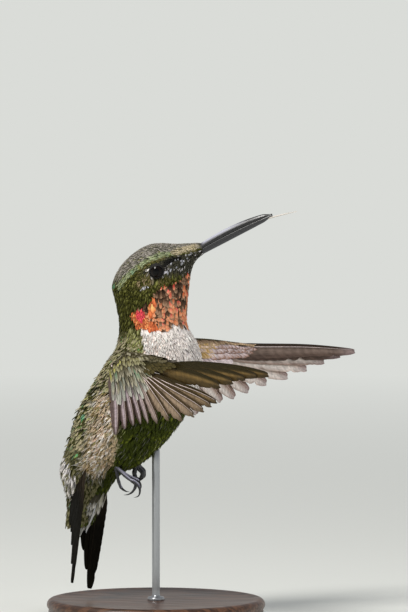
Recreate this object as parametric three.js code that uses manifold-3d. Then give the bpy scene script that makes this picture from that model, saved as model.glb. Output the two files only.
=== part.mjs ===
// An adult male ruby-throated hummingbird (Archilochus colubris), life size, hovering upright with
// both wings swept forward, held over a plain round base by one short rod.
// Millimetres, +Z up. The bird faces +X and its own left is +Y. The origin is the centre of the
// underside of the base, and the rod stands on it.

import * as THREE from "three";
import { mergeVertices } from "three/addons/utils/BufferGeometryUtils.js";
import Module from "manifold-3d";

const wasm = await Module();
wasm.setup();

// ---------------------------------------------------------------- driving dimensions

const CUT = 0.3; // width of the thin cuts between neighbouring pieces
const VANE = 0.55; // thickness of a flight or tail feather in these solids
const FINE = 0.035; // facets flatter than this are merged
const SIDE = { right: -1, left: 1 };

// Rings of the body from the root of the tail to the root of the bill: the dorsal and ventral points
// in the plane of symmetry [x, z], half the width, and how much of the width sits below the middle.
const BODY = [
  { at: "coverts", dorsal: [-17.7, 23.0], ventral: [-10.2, 23.5], half: 3.6, low: 0 },
  { at: "vent", dorsal: [-18.7, 28.2], ventral: [-7.2, 27.6], half: 5.4, low: 0 },
  { at: "rump", dorsal: [-17.3, 34.0], ventral: [-2.9, 29.9], half: 7.1, low: 0 },
  { at: "flank", dorsal: [-15.2, 40.4], ventral: [2.7, 35.2], half: 8.1, low: 0 },
  { at: "belly", dorsal: [-12.4, 45.2], ventral: [7.3, 42.3], half: 8.4, low: 0 },
  { at: "breast", dorsal: [-9.8, 49.3], ventral: [9.0, 48.8], half: 8.1, low: 0 },
  { at: "shoulder", dorsal: [-7.7, 52.6], ventral: [8.1, 52.9], half: 6.9, low: 0.05 },
  { at: "neck", dorsal: [-7.2, 56.9], ventral: [6.1, 57.0], half: 5.6, low: 0.1 },
  { at: "throat", dorsal: [-8.0, 61.2], ventral: [6.2, 61.2], half: 5.7, low: 0.12 },
  { at: "nape", dorsal: [-8.6, 64.1], ventral: [6.5, 64.3], half: 6.0, low: 0.12 },
  { at: "cheeks", dorsal: [-6.7, 68.2], ventral: [6.8, 67.0], half: 6.1, low: 0.12 },
  { at: "crown", dorsal: [-1.5, 72.1], ventral: [7.5, 68.7], half: 5.0, low: 0.1 },
  { at: "forehead", dorsal: [4.4, 72.4], ventral: [8.5, 69.8], half: 2.9, low: 0.05 },
  { at: "bill_root", dorsal: [9.2, 72.7], ventral: [9.8, 70.7], half: 1.15, low: 0 },
];
const CUTS = { rump: 2.0, neck: 6.6, head: 8.9 }; // where the body is parted, as ring numbers

// The bill, 15 mm long: both ends and the sag of its upper and lower outline, [x, z].
const BILL = {
  culmen: { from: [9.2, 72.75], bend: [16.0, 77.2], to: [22.9, 78.75] },
  gonys: { from: [9.9, 70.75], bend: [16.6, 74.2], to: [23.2, 77.7] },
  halfWidth: 0.95,
  tipHalfWidth: 0.4,
  upperShare: 0.52, // share of the depth that is upper mandible
};
const TONGUE = { diameter: 0.5, root: [20.3, 77.0], bend: [24.2, 78.2], tip: [27.9, 78.95] };

// The eye sits at this ring number and this angle down from the crown, on each side.
const EYE = { ring: 10.0, angle: 105, radius: 1.6, sunk: 0.9 };

// A wing hangs on a curved axis that leaves the flank and turns outwards. Along it, s runs from the
// shoulder to the tip, d from the leading edge down, and h outwards through the wing.
const WING = {
  span: 44,
  shoulder: [-3.2, 8.9], // x and distance from the plane of symmetry
  turnOver: 9, // stretch over which the axis turns away from the body
  primaryBlunt: [4.2, 2.6], // how square the tip is, innermost and outermost
  secondaryBlunt: 4.2,
  top: 0.5, // height of the innermost primary's root in the wing
  shingle: 0.12, // how far each feather lies over the next
};
// The arm with its coverts, from the shoulder to the hand: chord is its depth, thick half its
// thickness, and drop how far its leading edge falls away where it leaves the body.
const ARM = {
  from: -3.4,
  chord: 9.6,
  thick: 1.6,
  thinOver: 12,
  drop: 2.6,
  dropOver: 3.4,
  above: 0.2, // how far it stands over the axis
  out: 0.2,
};
// Each wing's own sweep in plan, height of its leading edge at even steps, hand and three fans of
// feathers. A fan has its count, the s of its first and last root, their d, the angle down from the
// leading edge and the length of its first, middle and last feather, and the first and last width.
// Primaries run from the innermost out and secondaries from the outermost in.
const POSE = {
  right: {
    sweep: [10, 38.5],
    heights: [52.1, 51.1, 51.1, 51.0, 50.8],
    tilt: 4,
    hand: { end: 10, taper: [0.5, 4.5], chord: 3.0, thick: 0.5 },
    inner: {
      count: 5, s: [0.5, 2.5], d: 3.4,
      angle: [25, 14, 8], length: [17.5, 22, 24.5], width: [3.4, 2.7],
    },
    outer: {
      count: 5, s: [5, 8], d: 1.7,
      angle: [5, 0, -2], length: [23, 29, 34.5], width: [3.3, 3.0],
    },
    arm: {
      count: 7, s: [0, -3], d: 2.5,
      angle: [35, 65, 88], length: [15, 12, 13.5], width: [3.4, 2.4],
    },
  },
  left: {
    sweep: [10, 44.5],
    heights: [53.4, 52.9, 51.4, 50.5, 49.6],
    tilt: 10,
    hand: { end: 22, taper: [4, 22], chord: 2.2, thick: 0.7 },
    inner: {
      count: 4, s: [4, 6.5], d: 1.9,
      angle: [50, 39, 26], length: [14, 15, 16.5], width: [4.2, 4.5],
    },
    outer: {
      count: 6, s: [7.5, 11.5], d: 1.9,
      angle: [17, 3, -3], length: [18.5, 26.5, 33], width: [4.5, 3.2],
    },
    arm: {
      count: 7, s: [2.5, -3], d: 2.2,
      angle: [58, 85, 97], length: [15, 14, 13], width: [3.4, 2.4],
    },
  },
};

// The tail: ten feathers folded into a roof, forked, the outermost longest.
const TAIL = {
  root: [-16.2, 0, 33.0],
  lean: 4.2, // degrees that it slopes back from straight down
  swing: 7, // degrees that it is swung, towards the bird's right
  roof: { right: 30, left: 54 }, // degrees that each half turns down from flat
  lift: { right: 0.8, left: 0 }, // how much higher each half sits
  lengths: [16.0, 17.3, 19.8, 23.4, 27.0], // central pair first
  widths: [4.2, 4.2, 4.0, 3.5, 2.9],
  spread: 1.0, // distance between the roots of neighbouring feathers
  fan: [0.6, 0.2, -0.4, -1.0, -1.6],
  from: 4.5, // the feathers are bare from here on, inside the coverts
};
// The coverts under the tail, as a flattened cone between two ends [x, z].
const UNDERTAIL = { from: [-11.9, 23.0], to: [-14.4, 16.4], half: [3.0, 1.2], deep: [2.0, 0.5] };

// Each foot's digits as curves [x, y, z] from the ankle, y counted outwards from it, and the
// radius of a digit at its root and at its claw.
const FEET = {
  right: {
    ankle: [-6.9, -4.5, 29.7],
    radii: [0.4, 0.25],
    toes: [
      [[-5.4, 0.3, 28.5], [-4.0, 0.5, 27.4], [-2.5, 0.6, 26.7], [-1.8, 0.6, 25.4],
        [-2.1, 0.5, 24.2], [-3.1, 0.5, 23.8]],
      [[-5.2, -0.2, 28.2], [-3.9, -0.2, 27.2], [-2.9, -0.2, 26.2], [-3.3, -0.2, 25.1],
        [-4.2, -0.2, 24.4], [-5.3, -0.2, 24.2]],
      [[-5.3, -0.6, 28.4], [-3.9, -0.9, 27.6], [-2.5, -1.0, 26.9], [-2.0, -1.0, 25.8], [-2.4, -1.0, 24.9]],
      [[-6.5, 0.1, 28.2], [-6.1, 0.1, 26.7], [-5.6, 0.1, 25.6], [-4.7, 0.2, 25.0], [-3.9, 0.3, 24.9]],
    ],
  },
  left: {
    ankle: [-5.6, 4.5, 30.2],
    radii: [0.52, 0.4],
    toes: [
      [[-4.7, 0.4, 28.9], [-3.9, 0.5, 28.1], [-3.9, 0.5, 27.1], [-4.7, 0.5, 26.6], [-5.4, 0.5, 27.0]],
      [[-4.7, -0.2, 28.7], [-3.9, -0.2, 27.8], [-4.1, -0.2, 26.8], [-4.9, -0.2, 26.3], [-5.6, -0.2, 26.7]],
      [[-5.2, -0.8, 28.6], [-5.3, -0.9, 27.6], [-5.0, -0.9, 26.8], [-4.5, -0.8, 26.3], [-4.0, -0.6, 26.5]],
    ],
  },
};

const STAND = { radius: 21, thickness: 4, edge: 0.7, rodDiameter: 1.5, rodTop: 35 };

// ---------------------------------------------------------------- helpers

const v3 = (x, y, z) => new THREE.Vector3(x, y, z);
const inPlane = ([x, z]) => v3(x, 0, z);
const rad = THREE.MathUtils.degToRad;
const lerp = THREE.MathUtils.lerp;
const smooth = (x) => THREE.MathUtils.smoothstep(x, 0, 1);

// A closed geometry as a solid that manifold-3d can cut.
function solidFrom(geometry) {
  const bare = geometry.clone();
  bare.deleteAttribute("normal");
  bare.deleteAttribute("uv");
  const merged = mergeVertices(bare, 1e-4);
  const made = new wasm.Manifold(
    new wasm.Mesh({
      numProp: 3,
      vertProperties: merged.attributes.position.array,
      triVerts: new Uint32Array(merged.index.array),
    }),
  );
  return made;
}

function geometryFrom(solid) {
  const mesh = solid.getMesh();
  const geometry = new THREE.BufferGeometry();
  geometry.setAttribute("position", new THREE.BufferAttribute(mesh.vertProperties, 3));
  geometry.setIndex(new THREE.BufferAttribute(mesh.triVerts, 1));
  geometry.computeVertexNormals();
  return geometry;
}

// A closed skin over rings of points, each end closed by a fan. The rings turn anticlockwise seen
// from the last ring.
function loft(rings) {
  const count = rings[0].length;
  const points = rings.flat();
  const index = [];
  for (let r = 0; r + 1 < rings.length; r++) {
    for (let i = 0; i < count; i++) {
      const j = (i + 1) % count;
      const a = r * count;
      const b = a + count;
      index.push(a + i, a + j, b + j, a + i, b + j, b + i);
    }
  }
  const centre = (ring) => ring.reduce((sum, p) => sum.add(p), v3(0, 0, 0)).divideScalar(count);
  const first = points.push(centre(rings[0])) - 1;
  const last = points.push(centre(rings.at(-1))) - 1;
  const top = (rings.length - 1) * count;
  for (let i = 0; i < count; i++) {
    const j = (i + 1) % count;
    index.push(first, j, i, last, top + i, top + j);
  }
  const geometry = new THREE.BufferGeometry().setFromPoints(points);
  geometry.setIndex(index);
  return solidFrom(geometry);
}

// A solid of rings, whichever way round they turn.
function loftEitherWay(rings) {
  const made = loft(rings);
  return made.volume() > 0 ? made : loft(rings.map((ring) => ring.toReversed()));
}

const join = (solids) => solids.reduce((whole, next) => whole.add(next));

// The largest body of a solid, without the slivers that a cut can leave.
function largest(solid) {
  const bodies = solid.decompose();
  return bodies.reduce((best, next) => (next.volume() > best.volume() ? next : best));
}

function finish(colour, roughness, metalness = 0) {
  return new THREE.MeshStandardMaterial({ color: colour, roughness, metalness });
}

const FINISH = {
  green: () => finish(0x3f4a26, 0.55, 0.2),
  gorget: () => finish(0xc2452c, 0.4, 0.3),
  pale: () => finish(0x9a9280, 0.8),
  vane: () => finish(0x5c504a, 0.6),
  tail: () => finish(0x1c1818, 0.6),
  bill: () => finish(0x1a1a1d, 0.4),
  tongue: () => finish(0xd8d2c4, 0.5),
  eye: () => finish(0x050505, 0.05),
  foot: () => finish(0x2a2a2e, 0.6),
  steel: () => finish(0x9a9da1, 0.35, 1),
  wood: () => finish(0x3b2417, 0.45),
};

const bird = new THREE.Group();

function node(name, solid, material) {
  const mesh = new THREE.Mesh(geometryFrom(largest(solid.simplify(FINE))), material);
  mesh.name = name;
  bird.add(mesh);
  return mesh;
}

// ---------------------------------------------------------------- body

const bodyCurves = {
  dorsal: new THREE.CatmullRomCurve3(BODY.map((ring) => inPlane(ring.dorsal))),
  ventral: new THREE.CatmullRomCurve3(BODY.map((ring) => inPlane(ring.ventral))),
  girth: new THREE.CatmullRomCurve3(BODY.map((ring) => v3(ring.half, ring.low, 0))),
};

// A point of the body's surface: ring counts along BODY, angle in degrees from the dorsal line.
function bodyPoint(ring, angle, grow = 0) {
  const t = THREE.MathUtils.clamp(ring / (BODY.length - 1), 0, 1);
  const dorsal = bodyCurves.dorsal.getPoint(t);
  const ventral = bodyCurves.ventral.getPoint(t);
  const girth = bodyCurves.girth.getPoint(t);
  const up = Math.cos(rad(angle));
  const out = Math.sin(rad(angle));
  const middle = dorsal.clone().lerp(ventral, 0.5);
  const arm = dorsal.clone().sub(middle).multiplyScalar(up);
  arm.y = girth.x * out * (1 - girth.y * up);
  return middle.add(arm.setLength(arm.length() + grow));
}

function bodyNormal(ring, angle) {
  const step = 0.02;
  const along = bodyPoint(ring + step, angle).sub(bodyPoint(ring - step, angle));
  const round = bodyPoint(ring, angle + 1).sub(bodyPoint(ring, angle - 1));
  const normal = round.cross(along).normalize();
  const outward = bodyPoint(ring, angle).sub(bodyPoint(ring, angle + 180));
  return normal.dot(outward) < 0 ? normal.negate() : normal;
}

// The body between two ring numbers, with each flat end drawn in by half a cut.
function bodySolid(from, to, rows, columns, grow = 0) {
  const rings = [];
  for (let r = 0; r <= rows; r++) {
    const ring = lerp(from, to, r / rows);
    const points = [];
    for (let i = 0; i < columns; i++) points.push(bodyPoint(ring, (360 * i) / columns, grow));
    rings.push(points);
  }
  const drawIn = (ring, next) => {
    const normal = ring[0].clone().sub(ring[columns / 2]).cross(v3(0, 1, 0)).normalize();
    if (normal.dot(next[0].clone().sub(ring[0])) < 0) normal.negate();
    ring.forEach((p) => p.addScaledVector(normal, CUT / 2 - grow));
  };
  drawIn(rings[0], rings[1]);
  drawIn(rings.at(-1), rings.at(-2));
  return loftEitherWay(rings);
}

// ---------------------------------------------------------------- bill, tongue and eyes

const billCurve = ({ from, bend, to }) =>
  new THREE.QuadraticBezierCurve3(inPlane(from), inPlane(bend), inPlane(to));
const culmen = billCurve(BILL.culmen);
const gonys = billCurve(BILL.gonys);

// One mandible: a half round between the outline and the line of the mouth.
function mandible(upper) {
  const rows = 10;
  const half = 7;
  const rings = [];
  for (let r = 0; r <= rows; r++) {
    const t = lerp(0.03, 1, r / rows);
    const ridge = (upper ? culmen : gonys).getPoint(t);
    const other = (upper ? gonys : culmen).getPoint(t);
    const share = upper ? BILL.upperShare : 1 - BILL.upperShare;
    const mouth = ridge.clone().lerp(other, share);
    const depth = ridge.clone().sub(mouth);
    const sharp = 1 - smooth((t - 0.86) / 0.14) * 0.45;
    const width = lerp(BILL.halfWidth, BILL.tipHalfWidth, Math.pow(t, 0.8));
    const lips = mouth.clone().addScaledVector(depth, (CUT * 0.5) / depth.length());
    const ring = [];
    for (let i = 0; i <= half; i++) {
      const angle = (Math.PI * i) / half;
      const rise = ridge.clone().sub(lips).multiplyScalar(Math.sin(angle) * sharp);
      const point = lips.clone().add(rise);
      point.y = Math.cos(angle) * width * sharp;
      ring.push(point);
    }
    rings.push(ring);
  }
  return loftEitherWay(rings);
}

function tubeAlong(curve, radiusAt, steps, sides) {
  const frames = curve.computeFrenetFrames(steps);
  const rings = [];
  for (let r = 0; r <= steps; r++) {
    const centre = curve.getPointAt(r / steps);
    const radius = radiusAt(r / steps);
    const ring = [];
    for (let i = 0; i < sides; i++) {
      const angle = (2 * Math.PI * i) / sides;
      ring.push(
        centre
          .clone()
          .addScaledVector(frames.normals[r], Math.cos(angle) * radius)
          .addScaledVector(frames.binormals[r], Math.sin(angle) * radius),
      );
    }
    rings.push(ring);
  }
  return loftEitherWay(rings);
}

function tongueSolid(grow = 0) {
  const line = new THREE.QuadraticBezierCurve3(
    inPlane(TONGUE.root),
    inPlane(TONGUE.bend),
    inPlane(TONGUE.tip),
  );
  return tubeAlong(line, () => TONGUE.diameter / 2 + grow, 6, 6);
}

function eyeCentre(side) {
  const point = bodyPoint(EYE.ring, EYE.angle * side);
  const normal = bodyNormal(EYE.ring, EYE.angle * side);
  return point.addScaledVector(normal, -EYE.sunk);
}

function eyeMesh(name, side) {
  const ball = new THREE.SphereGeometry(EYE.radius, 16, 9);
  const mesh = new THREE.Mesh(ball, FINISH.eye());
  mesh.name = name;
  mesh.position.copy(eyeCentre(side));
  bird.add(mesh);
}

// The hollow in the head that an eye sits in.
function eyeSocket(side) {
  const ball = new THREE.SphereGeometry(EYE.radius + CUT * 0.6, 14, 9);
  const at = eyeCentre(side);
  ball.translate(at.x, at.y, at.z);
  return solidFrom(ball);
}

// ---------------------------------------------------------------- wings

// The place s along a wing's axis, d below it and h outwards from its surface.
function wingPlacer(side, pose) {
  const [x0, y0] = WING.shoulder;
  const back = 8;
  const steps = 96;
  const ds = (WING.span + back + 6) / steps;
  const heading = (s) => rad(lerp(pose.sweep[0], pose.sweep[1], smooth((s + 2) / WING.turnOver)));
  const path = [v3(x0 - back * Math.cos(heading(-back)), y0 - back * Math.sin(heading(-back)), 0)];
  for (let i = 0; i < steps; i++) {
    const a = heading(-back + (i + 0.5) * ds);
    path.push(path[i].clone().add(v3(Math.cos(a) * ds, Math.sin(a) * ds, 0)));
  }
  const edge = new THREE.SplineCurve(pose.heights.map((z, i) => new THREE.Vector2(i, z)));
  return (s, d, h) => {
    const at = THREE.MathUtils.clamp((s + back) / ds, 0, steps - 1e-6);
    const i = Math.floor(at);
    const point = path[i].clone().lerp(path[i + 1], at - i);
    const a = heading(s);
    const share = Math.max(s, 0) / WING.span;
    const cup = 0.9 * (1 - Math.cos((Math.PI * Math.min(d, 14)) / 14)) * (0.4 + 0.6 * share);
    const out = h - cup + d * Math.sin(rad(pose.tilt)) * smooth((s + 1) / 8);
    point.x -= Math.sin(a) * out;
    point.y += Math.cos(a) * out;
    point.y *= side;
    point.z = edge.getPoint(Math.min(share, 1)).y - d * Math.cos(rad(pose.tilt));
    return point;
  };
}

// The width of a flight feather at a share of its length, as a share of its greatest width.
function vaneWidth(t, blunt) {
  const rise = smooth(t / 0.3);
  const fall = Math.pow(Math.max(1 - Math.pow(t, blunt), 0), 0.55);
  return 0.2 + 0.8 * rise * fall;
}

// One flight feather as a thin blade on the surface that place gives. It leaves its root s, d at
// the angle given, bulges a little to the side, and can be grown to clear its neighbours.
function bladeSolid(place, { s, d, h, angle, length, width, blunt, bow, rows }, grow = 0) {
  const turn = rad(angle);
  const rings = [];
  for (let r = 0; r <= rows; r++) {
    const t = 1 - Math.pow(1 - r / rows, 1.25);
    const reach = t * (length + grow);
    const bulge = -bow * length * 4 * t * (1 - t);
    const cs = s + reach * Math.cos(turn) - bulge * Math.sin(turn);
    const cd = d + reach * Math.sin(turn) + bulge * Math.cos(turn);
    const half = Math.max((width / 2) * vaneWidth(t, blunt), 0.12) + grow;
    const face = (k, lift) =>
      place(cs - Math.sin(turn) * half * k, cd + Math.cos(turn) * half * k, h + lift);
    const over = VANE / 2 + grow;
    rings.push([
      face(-1, over - 0.06),
      face(0, over + 0.04),
      face(1, over - 0.06),
      face(1, -over - 0.06),
      face(0, -over + 0.04),
      face(-1, -over - 0.06),
    ]);
  }
  return loftEitherWay(rings);
}

// A value that changes along a fan through those of its first, middle and last feather.
function through([first, middle, last], t) {
  return first * (1 - t) * (1 - 2 * t) + 4 * middle * t * (1 - t) + last * t * (2 * t - 1);
}

function fan({ count, s, d, angle, length, width }) {
  return Array.from({ length: count }, (_, i) => {
    const t = i / (count - 1);
    const size = { length: through(length, t), width: lerp(...width, t) };
    return { s: lerp(...s, t), d, angle: through(angle, t), ...size };
  });
}

function primariesOf(pose) {
  const feathers = [...fan(pose.inner), ...fan(pose.outer)];
  return feathers.map((feather, i) => {
    const blunt = lerp(...WING.primaryBlunt, i / (feathers.length - 1));
    return { ...feather, h: WING.top - WING.shingle * i, blunt, bow: 0.008, rows: 5 };
  });
}

function secondariesOf(pose) {
  return fan(pose.arm).map((feather, i) => {
    const h = WING.top + WING.shingle * 0.5 * (i + 1);
    return { ...feather, h, blunt: WING.secondaryBlunt, bow: 0.01, rows: 4 };
  });
}

// The fleshy arm with its coverts: thick at the shoulder, thin at the hand and at its lower edge.
function armSolid(place, pose, grow = 0) {
  const rows = 11;
  const columns = 10;
  const { hand } = pose;
  const rings = [];
  for (let r = 0; r <= rows; r++) {
    const share = r / rows;
    const s = lerp(ARM.from - grow, hand.end + grow, share);
    const close = Math.pow(Math.sin(Math.PI * lerp(0.12, 0.95, Math.pow(share, 0.8))), 0.5);
    const taper = smooth((s - hand.taper[0]) / (hand.taper[1] - hand.taper[0]));
    const drop = ARM.drop * (1 - smooth((s - ARM.from) / ARM.dropOver));
    const chord = lerp(ARM.chord, hand.chord, taper) * close - drop;
    const thick = lerp(ARM.thick, hand.thick, smooth((s + 3) / ARM.thinOver));
    const ring = [];
    for (let i = 0; i < columns; i++) {
      const a = (2 * Math.PI * i) / columns;
      const down = 0.5 - 0.5 * Math.cos(a);
      const d = drop - ARM.above + chord * down - Math.cos(a) * grow;
      const h = ARM.out + thick * Math.sin(a) * (1 - 0.5 * down) + Math.sin(a) * grow;
      ring.push(place(s, d, h));
    }
    rings.push(ring);
  }
  return loftEitherWay(rings);
}

function buildWing(sideName, trunkKeepOut) {
  const pose = POSE[sideName];
  const place = wingPlacer(SIDE[sideName], pose);
  const primaries = primariesOf(pose);
  const blades = (feathers, grow = 0) => join(feathers.map((f) => bladeSolid(place, f, grow)));
  const keepOut = armSolid(place, pose, CUT).add(trunkKeepOut);
  const outer = primaries.slice(pose.inner.count);
  const inner = primaries.slice(0, pose.inner.count);
  const clearOfOuter = keepOut.add(blades(outer.slice(0, 2), CUT));
  const clearOfInner = keepOut.add(blades(inner.slice(0, 2), CUT));
  const arm = armSolid(place, pose).subtract(trunkKeepOut);
  const group = (name, solid) => node(`wing_${sideName}_${name}`, largest(solid), FINISH.vane());
  node(`wing_${sideName}_arm`, largest(arm), FINISH.green());
  group("outer_primaries", blades(outer).subtract(keepOut));
  group("inner_primaries", blades(inner).subtract(clearOfOuter));
  group("secondaries", blades(secondariesOf(pose)).subtract(clearOfInner));
}

// ---------------------------------------------------------------- tail

// The place at a reach along one half of the tail, out from the middle and lifted off its back.
function tailPlacer(sideName) {
  const side = SIDE[sideName];
  const lean = rad(TAIL.lean);
  const dorsal = v3(-Math.cos(lean), 0, Math.sin(lean));
  const along = v3(-Math.sin(lean), 0, -Math.cos(lean)).applyAxisAngle(dorsal, rad(TAIL.swing));
  const across = v3(0, side, 0).applyAxisAngle(dorsal, rad(TAIL.swing));
  const roof = rad(TAIL.roof[sideName]);
  const outwards = across.clone().multiplyScalar(Math.cos(roof));
  outwards.addScaledVector(dorsal, -Math.sin(roof));
  const lifted = dorsal.clone().multiplyScalar(Math.cos(roof));
  lifted.addScaledVector(across, Math.sin(roof));
  return (reach, out, lift) =>
    v3(...TAIL.root)
      .addScaledVector(along, reach - TAIL.lift[sideName])
      .addScaledVector(outwards, out)
      .addScaledVector(lifted, lift);
}

function rectrices() {
  return TAIL.lengths.map((length, i) => ({
    s: TAIL.from,
    d: CUT * 0.8 + TAIL.widths[0] / 2 + i * TAIL.spread,
    h: -0.16 * i,
    angle: TAIL.fan[i],
    length: length - TAIL.from,
    width: TAIL.widths[i],
    blunt: 2.4,
    bow: 0,
    rows: 5,
  }));
}

function buildTail(rumpKeepOut) {
  let clear = rumpKeepOut;
  for (const sideName of Object.keys(SIDE)) {
    const place = tailPlacer(sideName);
    const half = (grow) => join(rectrices().map((f) => bladeSolid(place, f, grow)));
    node(`tail_${sideName}`, largest(half(0).subtract(rumpKeepOut)), FINISH.tail());
    clear = clear.add(half(CUT));
  }
  const rings = [0, 0.4, 0.75, 1].map((along) => {
    const centre = inPlane(UNDERTAIL.from).lerp(inPlane(UNDERTAIL.to), along);
    const t = along * along;
    const ring = [];
    for (let i = 0; i < 14; i++) {
      const a = (2 * Math.PI * i) / 14;
      const deep = lerp(...UNDERTAIL.deep, t) * Math.cos(a);
      ring.push(centre.clone().add(v3(deep, lerp(...UNDERTAIL.half, t) * Math.sin(a), 0)));
    }
    return ring;
  });
  node("undertail_coverts", largest(loftEitherWay(rings).subtract(clear)), FINISH.pale());
}

// ---------------------------------------------------------------- feet and stand

function buildFoot(sideName, bodyKeepOut) {
  const { ankle, radii, toes } = FEET[sideName];
  const out = SIDE[sideName];
  const start = v3(...ankle);
  const digits = toes.map((points) => {
    const line = [start, ...points.map(([x, y, z]) => v3(x, start.y + y * out, z))];
    const thick = (t) => lerp(...radii, smooth((t - 0.3) / 0.7));
    return tubeAlong(new THREE.CatmullRomCurve3(line), thick, 7, 5);
  });
  node(`foot_${sideName}`, largest(join(digits).subtract(bodyKeepOut)), FINISH.foot());
}

function buildStand(bodyKeepOut) {
  const { radius, thickness, edge, rodDiameter, rodTop } = STAND;
  const profile = [
    [0, 0],
    [radius - edge, 0],
    [radius, edge],
    [radius, thickness - edge],
    [radius - edge, thickness],
    [0, thickness],
  ].map(([r, z]) => new THREE.Vector2(r, z));
  const base = new THREE.LatheGeometry(profile, 48);
  base.rotateX(Math.PI / 2);
  node("stand_base", solidFrom(base), FINISH.wood());
  const bottom = thickness + CUT;
  const rod = new THREE.CylinderGeometry(rodDiameter / 2, rodDiameter / 2, rodTop - bottom, 24);
  rod.rotateX(Math.PI / 2);
  rod.translate(0, 0, (rodTop + bottom) / 2);
  node("stand_rod", largest(solidFrom(rod).subtract(bodyKeepOut)), FINISH.steel());
}

// ---------------------------------------------------------------- assembly

const last = BODY.length - 1;
const bodyKeepOut = bodySolid(0, CUTS.head, 20, 24, CUT);
const sockets = eyeSocket(SIDE.left).add(eyeSocket(SIDE.right));

node("head", bodySolid(CUTS.head, last, 12, 22).subtract(sockets), FINISH.green());
node("neck", bodySolid(CUTS.neck, CUTS.head, 5, 24), FINISH.gorget());
node("trunk", bodySolid(CUTS.rump, CUTS.neck, 10, 24), FINISH.pale());
node("rump", bodySolid(0, CUTS.rump, 5, 24), FINISH.green());
eyeMesh("eye_right", SIDE.right);
eyeMesh("eye_left", SIDE.left);

const tongueKeepOut = tongueSolid(CUT * 0.5);
node("bill_upper", largest(mandible(true).subtract(tongueKeepOut)), FINISH.bill());
node("bill_lower", largest(mandible(false).subtract(tongueKeepOut)), FINISH.bill());
node("tongue", tongueSolid(), FINISH.tongue());

buildWing("right", bodyKeepOut);
buildWing("left", bodyKeepOut);
buildTail(bodyKeepOut);
buildFoot("right", bodyKeepOut);
buildFoot("left", bodyKeepOut);
buildStand(bodyKeepOut);

export default bird;
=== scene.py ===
"""An adult male ruby-throated hummingbird, hovering, as a life-size model on a plain stand.

Shapes are worked out in millimetres in the frame of the CAD model and become metres in new_piece().
The bird faces +X, its own left is +Y, and a ring number with an angle down from the dorsal line
names a place on its body.
"""

import math

import bpy
import numpy as np
from mathutils import Matrix, Vector


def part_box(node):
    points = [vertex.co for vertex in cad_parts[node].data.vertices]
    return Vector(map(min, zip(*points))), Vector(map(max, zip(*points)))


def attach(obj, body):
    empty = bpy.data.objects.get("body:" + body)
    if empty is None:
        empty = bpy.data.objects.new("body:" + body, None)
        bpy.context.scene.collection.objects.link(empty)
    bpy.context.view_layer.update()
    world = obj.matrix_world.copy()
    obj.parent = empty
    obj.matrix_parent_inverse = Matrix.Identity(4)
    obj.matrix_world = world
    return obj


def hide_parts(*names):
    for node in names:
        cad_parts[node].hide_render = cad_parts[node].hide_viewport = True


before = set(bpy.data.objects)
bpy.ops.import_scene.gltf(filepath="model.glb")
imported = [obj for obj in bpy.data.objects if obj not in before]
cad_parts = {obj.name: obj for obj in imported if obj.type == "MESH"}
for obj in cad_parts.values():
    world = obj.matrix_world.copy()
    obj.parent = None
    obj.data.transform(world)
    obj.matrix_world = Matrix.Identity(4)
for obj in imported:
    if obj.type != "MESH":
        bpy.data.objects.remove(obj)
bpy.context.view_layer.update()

MM = 0.001
SEED = 1758
SIDE = {"right": -1, "left": 1}
rng = np.random.default_rng(SEED)

# ---------------------------------------------------------------- shapes shared with the CAD model

# Rings from the tail to the bill: dorsal x, z, ventral x, z, half the width, share set low.
# The first ring only carries the coverts down over the root of the tail.
BODY = np.array([
    [-18.1, 17.0, -12.7, 17.6, 2.6, 0],
    [-17.7, 23.0, -10.2, 23.5, 3.6, 0],
    [-18.7, 28.2, -7.2, 27.6, 5.4, 0],
    [-17.3, 34.0, -2.9, 29.9, 7.1, 0],
    [-15.2, 40.4, 2.7, 35.2, 8.1, 0],
    [-12.4, 45.2, 7.3, 42.3, 8.4, 0],
    [-9.8, 49.3, 9.0, 48.8, 8.1, 0],
    [-7.7, 52.6, 8.1, 52.9, 6.9, 0.05],
    [-7.2, 56.9, 6.1, 57.0, 5.6, 0.1],
    [-8.0, 61.2, 6.2, 61.2, 5.7, 0.12],
    [-8.6, 64.1, 6.5, 64.3, 6.0, 0.12],
    [-6.7, 68.2, 6.8, 67.0, 6.1, 0.12],
    [-1.5, 72.1, 7.5, 68.7, 5.0, 0.1],
    [4.4, 72.4, 8.5, 69.8, 2.9, 0.05],
    [9.2, 72.7, 9.8, 70.7, 1.15, 0],
])
LAST_RING = 13
RINGS_RANGE, ROUND = (-1, LAST_RING), (-180, 180)
# The eye: its ring and angle on the body, its radius, and how deep its centre lies.
EYE = {"ring": 10.0, "angle": 105, "radius": 1.6, "sunk": 0.9}
# Start, control and end of the bill's ridge, its lower edge and the tongue, as x and z.
CULMEN = [[9.2, 72.75], [16.0, 77.2], [22.9, 78.75]]
GONYS = [[9.9, 70.75], [16.6, 74.2], [23.2, 77.7]]
TONGUE = [[19.4, 76.7], [24.2, 78.2], [27.9, 78.95]]

SPAN = 44  # mm of a wing's axis over which the heights of its leading edge are spread
SHOULDER = (-3.2, 8.9)  # x and y where the axis starts
# How blunt the tips are: of the innermost and outermost primary, and of every secondary.
PRIMARY_BLUNT, SECONDARY_BLUNT = {"right": (4.2, 2.6), "left": (2.4, 2.4)}, 4.2
# The arm of a wing: its first s, depth and half thickness, how far it drops at the shoulder, and how
# far it stands above the line of the leading edge and out from the axis.
ARM = dict(start=-3.4, chord=9.6, thick=1.6, thin_over=12, drop=2.6, drop_over=3.4, above=0.2, out=0.2)
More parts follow.
